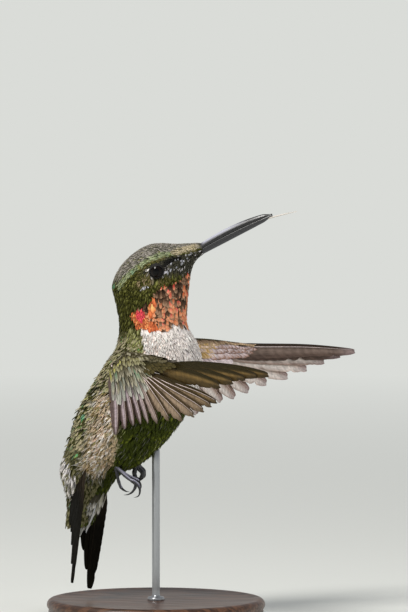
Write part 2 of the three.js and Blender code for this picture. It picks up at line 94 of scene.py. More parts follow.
# Each wing's fans of feathers: count, s of the first and last root, their d, angle and length of the
# first, middle and last feather, and the first and last width. "arm" is the secondaries.
POSE = {
    "right": dict(
        sweep=(10, 38.5), heights=[52.1, 51.1, 51.1, 51.0, 50.8], tilt=4,
        hand=dict(end=10, taper=(0.5, 4.5), chord=3.0, thick=0.5),
        inner=dict(count=5, s=(0.5, 2.5), d=3.4, angle=(25, 14, 8), length=(17.5, 22, 24.5),
                   width=(3.4, 2.7)),
        outer=dict(count=5, s=(5, 8), d=1.7, angle=(5, 0, -2), length=(23, 29, 34.5), width=(3.3, 3.0)),
        arm=dict(count=7, s=(0, -3), d=2.5, angle=(35, 65, 88), length=(15, 12, 13.5), width=(3.4, 2.4)),
    ),
    "left": dict(
        sweep=(10, 44.5), heights=[53.4, 52.9, 51.4, 50.5, 49.6], tilt=10,
        hand=dict(end=22, taper=(4, 22), chord=2.2, thick=0.7),
        inner=dict(count=4, s=(4, 6.5), d=1.9, angle=(50, 39, 26), length=(14, 15, 16.5), width=(4.2, 4.5)),
        outer=dict(count=6, s=(7.5, 11.5), d=1.9, angle=(17, 3, -3), length=(18.5, 26.5, 33),
                   width=(4.5, 3.2)),
        arm=dict(count=7, s=(2.5, -3), d=2.2, angle=(58, 85, 97), length=(15, 14, 13), width=(3.4, 2.4)),
    ),
}
# The tail: its root, how it leans back and swings, how steep each half is and how far it is drawn up,
# and its feathers from the innermost out.
TAIL = dict(
    root=(-16.2, 0, 33.0), lean=4.2, swing=7, roof={"right": 30, "left": 54},
    lift={"right": 0.8, "left": 0}, lengths=[16.0, 17.3, 19.8, 23.4, 27.0],
    widths=[4.2, 4.2, 4.0, 3.5, 2.9], spread=1.0, fan=[0.6, 0.2, -0.4, -1.0, -1.6], start=4.5,
)

# ---------------------------------------------------------------- small mathematics


def smooth(x):
    x = np.clip(x, 0, 1)
    return x * x * (3 - 2 * x)


def lerp(a, b, t):
    return a + (b - a) * t


def unit(v):
    return v / (np.linalg.norm(v, axis=-1, keepdims=True) + 1e-12)


def linear(r, g, b):
    """An sRGB colour of 0 to 255 as linear light."""
    c = np.array([r, g, b]) / 255
    return np.where(c <= 0.04045, c / 12.92, ((c + 0.055) / 1.055) ** 2.4)


def colours(**values):
    """Named sRGB colours as linear light."""
    return {name: linear(*value) for name, value in values.items()}


def catmull(points, at):
    """Centripetal Catmull-Rom through the points, at numbers counted along them."""
    points = np.asarray(points, float)
    i = np.clip(np.floor(at).astype(int), 0, len(points) - 2)
    w = (at - i)[..., None]
    whole = np.vstack([2 * points[0] - points[1], points, 2 * points[-1] - points[-2]])
    p0, p1, p2, p3 = whole[i], whole[i + 1], whole[i + 2], whole[i + 3]
    knot = lambda a, b: (np.sum((a - b) ** 2, -1) ** 0.25)[..., None] + 1e-9
    t0, t1, t2 = knot(p0, p1), knot(p1, p2), knot(p2, p3)
    m1 = ((p1 - p0) / t0 - (p2 - p0) / (t0 + t1) + (p2 - p1) / t1) * t1
    m2 = ((p2 - p1) / t1 - (p3 - p1) / (t1 + t2) + (p3 - p2) / t2) * t1
    return p1 + m1 * w + (-3 * p1 + 3 * p2 - 2 * m1 - m2) * w**2 + (2 * p1 - 2 * p2 + m1 + m2) * w**3


def bezier(points, t):
    a, b, c = (np.asarray(p, float) for p in points)
    t = np.asarray(t, float)[..., None]
    return a * (1 - t) ** 2 + 2 * b * t * (1 - t) + c * t * t


def rotated(v, axis, degrees):
    return np.array(Matrix.Rotation(math.radians(degrees), 3, Vector(axis)) @ Vector(v))


# ---------------------------------------------------------------- surfaces that carry feathers


def body_points(ring, angle):
    at = np.asarray(ring, float) + 1
    row = catmull(np.column_stack([BODY[:, 0], np.zeros(len(BODY)), BODY[:, 1]]), at)
    low = catmull(np.column_stack([BODY[:, 2], np.zeros(len(BODY)), BODY[:, 3]]), at)
    girth = catmull(np.column_stack([BODY[:, 4], BODY[:, 5], 0 * BODY[:, 5]]), at)
    a = np.radians(angle)
    point = (row + low) / 2 + (row - low) / 2 * np.cos(a)[..., None]
    point[..., 1] = girth[..., 0] * np.sin(a) * (1 - girth[..., 1] * np.cos(a))
    return point


class Surface:
    """A smooth sheet in two parameters p, q with an outward normal, looked up from a fine table."""

    def __init__(self, make, p_range, q_range, steps, outward):
        self.p0, self.p1 = p_range
        self.q0, self.q1 = q_range
        self.p = np.linspace(*p_range, steps[0])
        self.q = np.linspace(*q_range, steps[1])
        grid = np.meshgrid(self.p, self.q, indexing="ij")
        self.points = make(*grid)
        along = np.gradient(self.points, axis=0)
        across = np.gradient(self.points, axis=1)
        normals = unit(np.cross(along, across))
        flip = np.sum(normals * outward(self.points, grid[0], grid[1]), -1)
        self.normals = normals * np.where(flip < 0, -1, 1)[..., None]

    def look(self, table, p, q):
        x = np.clip((p - self.p0) / (self.p1 - self.p0), 0, 1) * (len(self.p) - 1)
        y = np.clip((q - self.q0) / (self.q1 - self.q0), 0, 1) * (len(self.q) - 1)
        i = np.minimum(x.astype(int), len(self.p) - 2)
        j = np.minimum(y.astype(int), len(self.q) - 2)
        fx, fy = (x - i)[..., None], (y - j)[..., None]
        low = table[i, j] * (1 - fx) + table[i + 1, j] * fx
        high = table[i, j + 1] * (1 - fx) + table[i + 1, j + 1] * fx
        return low * (1 - fy) + high * fy

    def wrap(self, q):
        return q

    def at(self, p, q, height=0.0):
        q = self.wrap(q)
        normal = unit(self.look(self.normals, p, q))
        return self.look(self.points, p, q) + normal * np.asarray(height)[..., None]

    def tangents(self, p, q):
        dp, dq = (self.p1 - self.p0) * 2e-3, (self.q1 - self.q0) * 2e-3
        along = (self.at(p + dp, q) - self.at(p - dp, q)) / (2 * dp)
        across = (self.at(p, q + dq) - self.at(p, q - dq)) / (2 * dq)
        return along, across, unit(self.look(self.normals, p, self.wrap(q)))


class RoundSurface(Surface):
    """A surface whose second parameter is an angle that goes all the way round."""

    def wrap(self, q):
        return (np.asarray(q) + 180) % 360 - 180


def from_middle(points, _p, _q):
    return points - points.mean(axis=1, keepdims=True)


body = RoundSurface(body_points, RINGS_RANGE, ROUND, (561, 721), from_middle)


def wing_placer(side_name):
    """Places s along a wing's axis, d below it and h outwards from it, as the CAD model does."""
    pose, side = POSE[side_name], SIDE[side_name]
    back, steps = 8, 96
    ds = (SPAN + back + 6) / steps
    heading = lambda s: np.radians(lerp(*pose["sweep"], smooth((s + 2) / 9)))
    turn = heading(-back + (np.arange(steps) + 0.5) * ds)
    first = np.array(SHOULDER) - back * np.array([math.cos(turn[0]), math.sin(turn[0])])
    path = np.vstack([first, first + np.cumsum(np.column_stack([np.cos(turn), np.sin(turn)]), 0) * ds])
    heights = np.array(pose["heights"])
    padded = np.concatenate([heights[:1], heights, heights[-1:]])
    tilt = math.radians(pose["tilt"])

    def edge(share):
        at = np.clip(share, 0, 1) * (len(heights) - 1)
        i = np.minimum(at.astype(int), len(heights) - 2)
        w = at - i
        p0, p1, p2, p3 = padded[i], padded[i + 1], padded[i + 2], padded[i + 3]
        v0, v1 = (p2 - p0) / 2, (p3 - p1) / 2
        return (2 * p1 - 2 * p2 + v0 + v1) * w**3 + (-3 * p1 + 3 * p2 - 2 * v0 - v1) * w**2 + v0 * w + p1

    def place(s, d, h):
        s, d, h = np.broadcast_arrays(*(np.asarray(x, float) for x in (s, d, h)))
        at = (s + back) / ds
        numbers = np.arange(steps + 1)
        x, y = np.interp(at, numbers, path[:, 0]), np.interp(at, numbers, path[:, 1])
        a, share = heading(s), np.maximum(s, 0) / SPAN
        cup = 0.9 * (1 - np.cos(np.pi * np.minimum(d, 14) / 14)) * (0.4 + 0.6 * share)
        out = h - cup + d * math.sin(tilt) * smooth((s + 1) / 8)
        z = edge(share) - d * math.cos(tilt)
        return np.stack([x - np.sin(a) * out, (y + np.cos(a) * out) * side, z], -1)

    return place


def tail_placer(side_name):
    lean, side = math.radians(TAIL["lean"]), SIDE[side_name]
    dorsal = np.array([-math.cos(lean), 0, math.sin(lean)])
    along = rotated((-math.sin(lean), 0, -math.cos(lean)), dorsal, TAIL["swing"])
    across = rotated((0, side, 0), dorsal, TAIL["swing"])
    roof = math.radians(TAIL["roof"][side_name])
    outwards = across * math.cos(roof) - dorsal * math.sin(roof)
    lifted = dorsal * math.cos(roof) + across * math.sin(roof)
    root = np.array(TAIL["root"]) - along * TAIL["lift"][side_name]

    def place(reach, out, lift):
        reach, out, lift = np.broadcast_arrays(*(np.asarray(x, float) for x in (reach, out, lift)))
        return root + reach[..., None] * along + out[..., None] * outwards + lift[..., None] * lifted

    return place


def arm_section(pose, s):
    """At s: the depth of a wing's arm, half its thickness, and how far its leading edge falls away."""
    hand = pose["hand"]
    share = np.clip((s - ARM["start"]) / (hand["end"] - ARM["start"]), 0, 1)
    close = np.sin(np.pi * lerp(0.12, 0.95, share**0.8)) ** 0.5
    low, high = hand["taper"]
    drop = ARM["drop"] * (1 - smooth((s - ARM["start"]) / ARM["drop_over"]))
    chord = lerp(ARM["chord"], hand["chord"], smooth((s - low) / (high - low))) * close - drop
    return chord, lerp(ARM["thick"], hand["thick"], smooth((s + 3) / ARM["thin_over"])), drop


def arm_points(side_name, place, grow=0.0):
    """The arm as a closed sheet: s along it, and q degrees round it from the leading edge."""
    pose = POSE[side_name]

    def make(s, q):
        chord, thick, drop = arm_section(pose, s)
        a = np.radians(q)
        down = 0.5 - 0.5 * np.cos(a)
        h = ARM["out"] + thick * np.sin(a) * (1 - 0.5 * down)
        d = drop - ARM["above"] + chord * down
        return place(s, d - np.cos(a) * grow, h + np.sin(a) * grow)

    return make


# ---------------------------------------------------------------- meshes


def linked(name, data):
    made = bpy.data.objects.new(name, data)
    bpy.context.scene.collection.objects.link(made)
    return made


def looking(name, data, target, azimuth, elevation, away):
    """An object away mm from the target, in a direction given in degrees, that looks back at it."""
    a, e = math.radians(azimuth), math.radians(elevation)
    back = Vector((math.sin(a) * math.cos(e), -math.cos(a) * math.cos(e), math.sin(e)))
    made = linked(name, data)
    made.location = (Vector(target) + back * away) * MM
    made.rotation_euler = back.to_track_quat("Z", "Y").to_euler()
    return made


def new_piece(name, points, quads, material, tint=None, uv=None, bake=None, flat=None, extra=None):
    """A mesh object of quads. points are millimetres; tint, uv and bake are one row per point."""
    mesh = bpy.data.meshes.new(name)
    mesh.vertices.add(len(points))
    mesh.vertices.foreach_set("co", (np.asarray(points) * MM).astype(np.float32).ravel())
    loops = np.asarray(quads).astype(np.int32).ravel()
    mesh.loops.add(len(loops))
    mesh.loops.foreach_set("vertex_index", loops)
    mesh.polygons.add(len(quads))
    mesh.polygons.foreach_set("loop_start", np.arange(len(quads), dtype=np.int32) * 4)
    mesh.update(calc_edges=True)
    for label, rows in (("vane", uv), ("OFBake", bake)):
        if rows is not None:
            layer = mesh.uv_layers.new(name=label)
            layer.data.foreach_set("uv", np.asarray(rows)[loops].astype(np.float32).ravel())
    if tint is not None:
        rgba = np.column_stack([tint, np.ones(len(tint))]).astype(np.float32)
        mesh.attributes.new("tint", "FLOAT_COLOR", "POINT").data.foreach_set("color", rgba.ravel())
    for label, values in (extra or {}).items():
        layer = mesh.attributes.new(label, "FLOAT", "POINT")
        layer.data.foreach_set("value", np.asarray(values).astype(np.float32))
    sharp = np.zeros(len(quads), bool) if flat is None else flat
    mesh.attributes.new("sharp_face", "BOOLEAN", "FACE").data.foreach_set("value", sharp)
    mesh.materials.append(material)
    return linked(name, mesh)


def grid_quads(rows, columns, closed=False):
    """Quads of a grid of points that counts columns first, closed round its columns if asked."""
    wide = columns if closed else columns - 1
    i, j = np.meshgrid(np.arange(rows - 1), np.arange(wide), indexing="ij")
    k = (j + 1) % columns
    quads = [i * columns + j, i * columns + k, (i + 1) * columns + k, (i + 1) * columns + j]
    return np.stack(quads, -1).reshape(-1, 4)


def end_cap(start, count, flip):
    """A ring of an even count of points closed with quads, like the rungs of a ladder."""
    half = count // 2
    quads = [[start + i, start + i + 1, start + count - 2 - i, start + count - 1 - i]
             for i in range(half - 1)]
    quads = np.array(quads)
    return quads[:, ::-1] if flip else quads


def outward(points, quads):
    """The quads turned so that the closed body they make has its faces outwards."""
    p = points[quads]
    volume = np.sum(p[:, 0] * (np.cross(p[:, 1], p[:, 2]) + np.cross(p[:, 2], p[:, 3])))
    return quads if volume > 0 else quads[:, ::-1]


def loft(rings):
    """Closed skin over rings of an even count of points: its points, and quads facing outwards."""
    rings = np.asarray(rings)
    rows, count = rings.shape[:2]
    last = (rows - 1) * count
    quads = np.vstack([grid_quads(rows, count, True), end_cap(0, count, True), end_cap(last, count, False)])
    points = rings.reshape(-1, 3)
    return points, outward(points, quads)


def merged(parts):
    """Several (points, quads, tint, ...) sets as one, each further column stacked in the same way."""
    offset, quads = 0, []
    for part in parts:
        quads.append(part[1] + offset)
        offset += len(part[0])
    rest = [np.concatenate([part[k] for part in parts]) for k in range(2, len(parts[0]))]
    return [np.vstack([part[0] for part in parts]), np.vstack(quads)] + rest


def tube(line, radius, sides, up=(0, 1, 0)):
    """Rings round a line of points. radius is one value per point."""
    line = np.asarray(line, float)
    tangent = unit(np.gradient(line, axis=0))
    side = unit(np.cross(tangent, np.broadcast_to(up, tangent.shape)))
    other = np.cross(side, tangent)
    a = np.linspace(0, 2 * np.pi, sides, endpoint=False)
    radius = np.broadcast_to(radius, len(line))[:, None, None]
    across = side[:, None] * np.cos(a)[None, :, None] + other[:, None] * np.sin(a)[None, :, None]
    return line[:, None] + across * radius


# ---------------------------------------------------------------- materials


def material(name, roughness, metallic=0.0, specular=0.5, coat=0.0, coat_roughness=0.1):
    made = bpy.data.materials.new(name)
    made.use_nodes = True
    shader = made.node_tree.nodes["Principled BSDF"]
    shader.inputs["Roughness"].default_value = roughness
    shader.inputs["Metallic"].default_value = metallic
    shader.inputs["Specular IOR Level"].default_value = specular
    shader.inputs["Coat Weight"].default_value = coat
    shader.inputs["Coat Roughness"].default_value = coat_roughness
    return made, Nodes(made.node_tree), shader


class Nodes:
    """Short ways to add and join shader nodes."""

    def __init__(self, tree):
        self.tree = tree

    def add(self, kind, **settings):
        made = self.tree.nodes.new("ShaderNode" + kind)
        for key, value in settings.items():
            setattr(made, key, value)
        return made

    def link(self, start, end):
        self.tree.links.new(start, end)

    def feed(self, socket, value):
        if isinstance(value, bpy.types.NodeSocket):
            self.link(value, socket)
        else:
            socket.default_value = value

    def math(self, operation, a, b=0.0):
        made = self.add("Math", operation=operation)
        self.feed(made.inputs[0], a)
        self.feed(made.inputs[1], b)
        return made.outputs[0]

    def mix(self, factor, a, b, blend="MIX"):
        made = self.add("Mix", data_type="RGBA", blend_type=blend)
        self.feed(made.inputs["Factor"], factor)
        for socket, value in ((made.inputs[6], a), (made.inputs[7], b)):
            self.feed(socket, value if isinstance(value, bpy.types.NodeSocket) else (*value, 1))
        return made.outputs[2]

    def noise(self, vector, scale, detail=4.0, rough=0.55, own=None):
        made = self.add("TexNoise", noise_dimensions="3D" if own is None else "4D")
        if own is not None:
            self.link(own, made.inputs["W"])
        made.inputs["Scale"].default_value = scale
        made.inputs["Detail"].default_value = detail
        made.inputs["Roughness"].default_value = rough
        self.link(vector, made.inputs["Vector"])
        return made.outputs["Fac"]

    def spread(self, value, low, high, to_low, to_high):
        made = self.add("MapRange")
        self.feed(made.inputs["Value"], value)
        for socket, number in zip(made.inputs[1:5], (low, high, to_low, to_high)):
            self.feed(socket, number)
        return made.outputs["Result"]

    def scaled(self, vector, scale):
        made = self.add("Mapping")
        made.inputs["Scale"].default_value = scale
        self.link(vector, made.inputs["Vector"])
        return made.outputs["Vector"]

    def attribute(self, name, output="Color"):
        return self.add("Attribute", attribute_name=name).outputs[output]

    def spot(self):
        return self.add("TexCoord").outputs["Object"]

    def bump(self, height, strength, distance, onto):
        made = self.add("Bump")
        made.inputs["Strength"].default_value = strength
        made.inputs["Distance"].default_value = distance
        self.link(height, made.inputs["Height"])
        self.link(made.outputs["Normal"], onto)


BARB_PITCH = 0.16  # mm between the barbs that a material draws


def plumage_material(name, chevron=1.2, contrast=0.2, streak=0.3, specular=0.12, roughness=0.62,
                     pitch=BARB_PITCH):
    """Barbs drawn slantwise off the shaft over each feather's own colour, and soft streaks along it."""
    made, n, shader = material(name, roughness=roughness, specular=specular)
    tint = n.attribute("tint")
    gloss = n.attribute("gloss", "Fac")
    luck = n.attribute("luck", "Fac")
    place = n.add("UVMap", uv_map="vane").outputs["UV"]
    parts = n.add("SeparateXYZ")
    n.link(place, parts.inputs[0])
    out = n.math("ABSOLUTE", parts.outputs["X"])
    along = n.math("SUBTRACT", parts.outputs["Y"], n.math("MULTIPLY", out, chevron))
    spot = n.spot()
    wobble = n.noise(spot, 1400, 2)
    along = n.math("ADD", along, n.math("MULTIPLY", wobble, pitch * 1.5))
    barbs = n.math("SINE", n.math("MULTIPLY", along, 2 * math.pi / pitch))
    barbs = n.spread(barbs, -1, 1, 0, 1)
    mottle = n.noise(spot, 900, 5)
    dark = n.spread(n.math("MULTIPLY", barbs, mottle), 0, 0.55, 1 - contrast, 1 + contrast * 0.45)
    lines = n.noise(n.scaled(place, (4.5, 0.55, 1)), 1.0, 3, own=n.math("MULTIPLY", luck, 40))
    dark = n.math("MULTIPLY", dark, n.spread(lines, 0.3, 0.7, 1 - streak, 1 + streak))
    shade = n.add("CombineColor")
    for socket in shade.inputs:
        n.link(dark, socket)
    colour = n.mix(1.0, tint, shade.outputs[0], "MULTIPLY")
    n.link(colour, shader.inputs["Base Color"])
    n.link(n.spread(gloss, 0, 1, 0.0, 0.62), shader.inputs["Metallic"])
    n.link(n.spread(gloss, 0, 1, roughness, 0.36), shader.inputs["Roughness"])
    n.bump(barbs, 0.35, 0.00003, shader.inputs["Normal"])
    return made


def skin_material():
    made, n, shader = material("skin", roughness=0.7, specular=0.3)
    tint = n.attribute("tint")
    spot = n.spot()
    grain = n.noise(spot, 2200, 4)
    n.link(n.mix(n.spread(grain, 0.3, 0.7, 0, 0.35), tint, (0.01, 0.009, 0.008)), shader.inputs["Base Color"])
    n.bump(grain, 0.5, 0.00008, shader.inputs["Normal"])
    return made


def horn_material(name, base, wear_and_highlight, roughness, grooves=(1, 1, 1)):
    """Bill, claws and toes: dark horn, greyer in rubbed patches, with fine growth lines."""
    made, n, shader = material(name, roughness=roughness, specular=0.5, coat=0.25, coat_roughness=0.25)
    spot = n.spot()
    tint = n.attribute("tint")
    lines = n.noise(n.scaled(spot, grooves), 1500, 4)
    wear = n.noise(spot, 420, 5)
    colour = n.mix(n.spread(wear, 0.42, 0.68, 0, 0.5), base, wear_and_highlight)
    # Each point's own tint is added to the horn's colour; on the bill and the toes it carries a painted
    # highlight along their upper sides.
    n.link(n.mix(1.0, tint, colour, "ADD"), shader.inputs["Base Color"])
    n.link(n.spread(lines, 0.3, 0.7, roughness * 0.8, roughness * 1.35), shader.inputs["Roughness"])
    n.bump(lines, 0.3, 0.00004, shader.inputs["Normal"])
    return made


def eye_material():
    """A dark brown iris round a black pupil under a clear wet cornea."""
    made, n, shader = material("eye", roughness=0.05, specular=0.16)
    tint = n.attribute("tint")
    spot = n.spot()
    fibres = n.noise(spot, 2600, 3)
    colour = n.mix(n.spread(fibres, 0.35, 0.65, 0, 0.5), tint, (0.002, 0.0015, 0.001))
    n.link(colour, shader.inputs["Base Color"])
    return made


def wood_material():
    made, n, shader = material("dark walnut", roughness=0.42, specular=0.4, coat=0.2, coat_roughness=0.3)
    spot = n.spot()
    grain_place = n.scaled(spot, (0.12, 1, 1))
    bands = n.noise(grain_place, 260, 6, 0.6)
    pores = n.noise(n.scaled(spot, (0.05, 1, 1)), 1900, 3)
    rings = n.math("SINE", n.math("MULTIPLY", bands, 46.0))
    colour = n.mix(n.spread(rings, -1, 1, 0, 1), linear(58, 36, 24), linear(96, 64, 43))
    colour = n.mix(n.spread(pores, 0.52, 0.66, 0, 0.6), colour, linear(34, 20, 13))
    n.link(colour, shader.inputs["Base Color"])
    n.link(n.spread(pores, 0.4, 0.7, 0.36, 0.55), shader.inputs["Roughness"])
    n.bump(pores, 0.25, 0.0001, shader.inputs["Normal"])
    return made


def steel_material():
    made, n, shader = material("brushed steel", roughness=0.34, metallic=1.0)
    spot = n.spot()
    scratch = n.noise(n.scaled(spot, (1, 1, 0.02)), 5200, 4)
    colour = n.mix(scratch, linear(150, 152, 156), linear(196, 198, 201))
    n.link(colour, shader.inputs["Base Color"])
    n.link(n.spread(scratch, 0.3, 0.7, 0.26, 0.44), shader.inputs["Roughness"])
    n.bump(scratch, 0.15, 0.00003, shader.inputs["Normal"])
    return made


SWEEP_LIT, SWEEP_EVEN = 0.15, 0.6  # metres from the middle between which light gives way to an even tone


def stage_material():
    """A pale seamless sweep: it takes light and shadow near the object and looks evenly bright beyond."""
    made = bpy.data.materials.new("pale sweep")
    made.use_nodes = True
    n = Nodes(made.node_tree)
    shader = made.node_tree.nodes["Principled BSDF"]
    shader.inputs["Base Color"].default_value = (*linear(226, 227, 222), 1)
    shader.inputs["Roughness"].default_value = 0.9
    shader.inputs["Specular IOR Level"].default_value = 0.1
    glow = n.add("Emission")
    glow.inputs["Color"].default_value = (*linear(218, 220, 216), 1)
    path = n.add("LightPath").outputs
    seen = n.math("MAXIMUM", path["Is Glossy Ray"], path["Is Transmission Ray"])
    seen = n.math("MAXIMUM", path["Is Camera Ray"], seen)
    away = n.add("VectorMath", operation="LENGTH")
    n.link(n.spot(), away.inputs[0])
    beyond = n.spread(away.outputs["Value"], SWEEP_LIT, SWEEP_EVEN, 0, 1)
    both = n.add("MixShader")
    n.link(n.math("MULTIPLY", seen, beyond), both.inputs[0])
    n.link(shader.outputs[0], both.inputs[1])
    n.link(glow.outputs[0], both.inputs[2])
    n.link(both.outputs[0], made.node_tree.nodes["Material Output"].inputs["Surface"])
    return made


# ---------------------------------------------------------------- feathers

# One small feather: rows from root to tip, columns across the upper face, one line beneath.
ROWS = np.array([0.0, 0.3, 0.58, 0.8, 0.93, 1.0])
COLUMNS = np.array([-1.0, -0.55, 0.0, 0.55, 1.0])
RING = len(COLUMNS) + 1
OUTLINES = {
    "round": np.array([0.4, 0.82, 1.0, 0.92, 0.66, 0.3]),
    "scale": np.array([0.5, 0.9, 1.0, 1.0, 0.8, 0.42]),
    "lance": np.array([0.55, 0.95, 1.0, 0.7, 0.4, 0.14]),
    "square": np.array([0.4, 0.8, 0.96, 1.0, 0.92, 0.7]),
}
VANE_DEEP = 0.035  # mm from the upper face of a small feather to the line beneath it
TUFT_PATCH = 0.003  # side of a small feather's patch of its bake map
GOLDEN = 0.618034  # steps by this share spread evenly without repeating


def feather_quads():
    rows = len(ROWS)
    quads = grid_quads(rows, RING, True)
    under = np.tile(np.arange(RING) >= len(COLUMNS) - 1, rows - 1)
    last = (rows - 1) * RING
    caps = [[0, 5, 2, 1], [2, 5, 4, 3], [last, last + 1, last + 2, last + 5],
            [last + 2, last + 3, last + 4, last + 5]]
    return np.vstack([quads, caps]), np.concatenate([under, np.ones(4, bool)])


QUADS, UNDER = feather_quads()


def feathers(surface, p, q, heading, length, half, depth, lift, curl, camber, fray, outline, tint, edge,
             gloss, bake, base=0.0, shaft=None, root=0.64):
    """Many small feathers on a surface. All values are one per feather or one for all.

    heading: degrees from the line of falling p, turning towards rising q. depth: how far the root
    lies under the surface. lift: how far the tip stands over it. fray: how ragged the tip is.
    root: how much of the colour is left at the root, in the shade of the feathers above.
    """
    n = len(p)
    full = lambda value: np.broadcast_to(np.asarray(value, float), (n,))[:, None, None]
    t = ROWS[None, :, None]
    c = np.concatenate([COLUMNS, [0.0]])[None, None, :]
    beneath = np.zeros(RING)
    beneath[-1] = 1.0
    wide = np.asarray(OUTLINES[outline])[None, :, None]
    ragged = np.array([0.0, -1.0, 0.35, -0.8, 0.1, 0.0])[None, None, :]
    late = smooth((t - 0.45) / 0.5)
    arc = -0.22 * np.abs(c) ** 2 * full(half) * late
    a = full(length) * t + full(fray) * ragged * full(length) * late + arc
    b = full(half) * wide * c
    h = -full(depth) * (1 - t**0.85) + full(lift) * t**1.6 - full(curl) * t**4 + full(base)
    h = h - full(camber) * full(half) * wide * np.abs(c) ** 1.8 - VANE_DEEP * beneath[None, None, :]
    along, across, _ = surface.tangents(p, q)
    turn = np.radians(np.broadcast_to(np.asarray(heading, float), (n,)))[:, None]
    down = -unit(along)
    side = unit(across - down * np.sum(across * down, -1, keepdims=True))
    forward = down * np.cos(turn) + side * np.sin(turn)
    sideways = side * np.cos(turn) - down * np.sin(turn)
    # The point a, b of the tangent plane in steps of p and q.
    pp, qq, pq = (np.sum(x * y, -1) for x, y in ((along, along), (across, across), (along, across)))
    size = pp * qq - pq * pq
    steps = []
    for direction in (forward, sideways):
        dp, dq = np.sum(direction * along, -1), np.sum(direction * across, -1)
        steps.append(((dp * qq - dq * pq) / size, (dq * pp - dp * pq) / size))
    (fp, fq), (sp, sq) = steps
    at_p = p[:, None, None] + a * fp[:, None, None] + b * sp[:, None, None]
    at_q = q[:, None, None] + a * fq[:, None, None] + b * sq[:, None, None]
    points = surface.at(at_p, at_q, h).reshape(-1, 3)
    quads = (QUADS[None] + (np.arange(n) * len(ROWS) * RING)[:, None, None]).reshape(-1, 4)
    first = points[quads[RING + 1]]
    outwards = unit(surface.look(surface.normals, p[:1], surface.wrap(q[:1])))[0]
    facing = np.cross(first[1] - first[0], first[3] - first[0]) @ outwards
    quads = quads if facing > 0 else quads[:, ::-1]
    along_sides = smooth((np.abs(c) - 0.5) / 0.5) * smooth((t - 0.2) / 0.4) * 0.8
    rim = np.maximum(smooth((t - 0.62) / 0.38), along_sides)
    rim = np.broadcast_to(rim, (n, len(ROWS), RING))[..., None]
    colour = tint[:, None, None, :] * (1 - rim) + edge[:, None, None, :] * rim
    if shaft is not None:
        line = np.broadcast_to((np.abs(c) < 0.1) * smooth((1 - t) / 0.4), rim.shape[:-1])[..., None]
        colour = colour * (1 - line) + shaft[:, None, None, :] * line
    colour = colour * lerp(root, 1.0, smooth(t / 0.62))[..., None]
    shine = np.broadcast_to(full(gloss), rim.shape[:-1]).reshape(-1)
    uv = np.stack([np.broadcast_to(b, h.shape), np.broadcast_to(a, h.shape)], -1).reshape(-1, 2)
    patch_t = np.where(beneath > 0, 0.12 + 0.76 * t, t)
    patch = np.stack(np.broadcast_arrays(bake[:, 0, None, None] + TUFT_PATCH / 2 * c,
                                         bake[:, 1, None, None] + TUFT_PATCH * patch_t), -1)
    luck = np.repeat(np.arange(n) * GOLDEN % 1, len(ROWS) * RING)
    return [points, quads, colour.reshape(-1, 3), shine, uv, patch.reshape(-1, 2), np.tile(UNDER, n), luck]


def in_unit(values, low, high):
    """Values between low and high as places inside 0.01 to 0.985 of a bake map."""
    return 0.01 + 0.975 * np.clip((values - low) / (high - low), 0, 1)


def on_map(across, across_range, up, up_range):
    """Places on a bake map for values in their ranges."""
    return np.column_stack([in_unit(across, *across_range), in_unit(up, *up_range)])


def on_body_map(ring, angle):
    return on_map(angle, ROUND, ring, RINGS_RANGE)


def fill_map(bake):
    """The same places spread over nearly all of the map."""
    low = bake.min(0)
    return 0.004 + (bake - low) / (bake.max(0) - low) * 0.992


def feather_piece(name, sets, made, slot, *replaced):
    points, quads, tint, gloss, uv, bake, under, luck = merged(sets)
    extra = {"gloss": gloss, "luck": luck}
    piece = new_piece(name, points, quads, made, np.clip(tint, 0, 1), uv, fill_map(bake), under, extra)
    return dress(piece, slot, *replaced)


def dress(piece, slot, *nodes):
    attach(piece, "root")
    if nodes:
        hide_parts(*nodes)
    return piece


# ---------------------------------------------------------------- markings of the body

TINTS = colours(
    crown=(126, 122, 110), crown_edge=(164, 156, 148), crown_dark=(62, 60, 46), olive=(70, 70, 20),
    olive_dark=(42, 42, 10), olive_pale=(122, 122, 66), neck_patch=(160, 160, 112), emerald=(84, 150, 100),
    mint=(134, 172, 144), brow=(130, 142, 104), brow_edge=(164, 170, 134), gold=(168, 156, 118),
    gold_edge=(198, 184, 160), black=(24, 23, 20), charcoal=(66, 64, 52), silver=(188, 188, 196),
    rufous=(152, 132, 106), ear=(104, 94, 60), white=(246, 240, 234), chest=(240, 230, 224),
    blush=(236, 212, 196), grey=(204, 198, 198), buff=(160, 140, 100), buff_pale=(200, 178, 146),
    buff_dark=(84, 70, 38), peach=(220, 180, 148), ochre=(168, 128, 66), dull=(96, 70, 52),
    dull_edge=(164, 130, 104), dull_dark=(44, 32, 20), orange=(232, 130, 80), deep_orange=(206, 104, 62),
    yellow=(248, 196, 124), red=(226, 88, 74), hot=(238, 94, 92), ember=(222, 160, 122),
    pink=(238, 66, 100), wine=(178, 44, 66), between=(116, 56, 28), belly=(56, 64, 12),
    belly_dark=(28, 34, 4), rim=(116, 124, 34), back=(136, 130, 96), back_dark=(48, 48, 30),
    back_edge=(174, 166, 132), taupe=(156, 140, 120), moss=(140, 142, 70), rump=(68, 68, 32),
    cloud=(200, 196, 200), tail=(15, 13, 8), tail_warm=(78, 66, 54),
)

# The rings of the body that the markings are placed by.
VENT, RUMP, FLANKS, BELLY, BREAST, SHOULDERS, NECK, THROAT, NAPE = range(1, 10)


def by_eye(*offsets):
    """Places on the side of the head, as rings in front of the eye and degrees below it."""
    return [(EYE["ring"] + ahead, EYE["angle"] + below) for ahead, below in offsets]


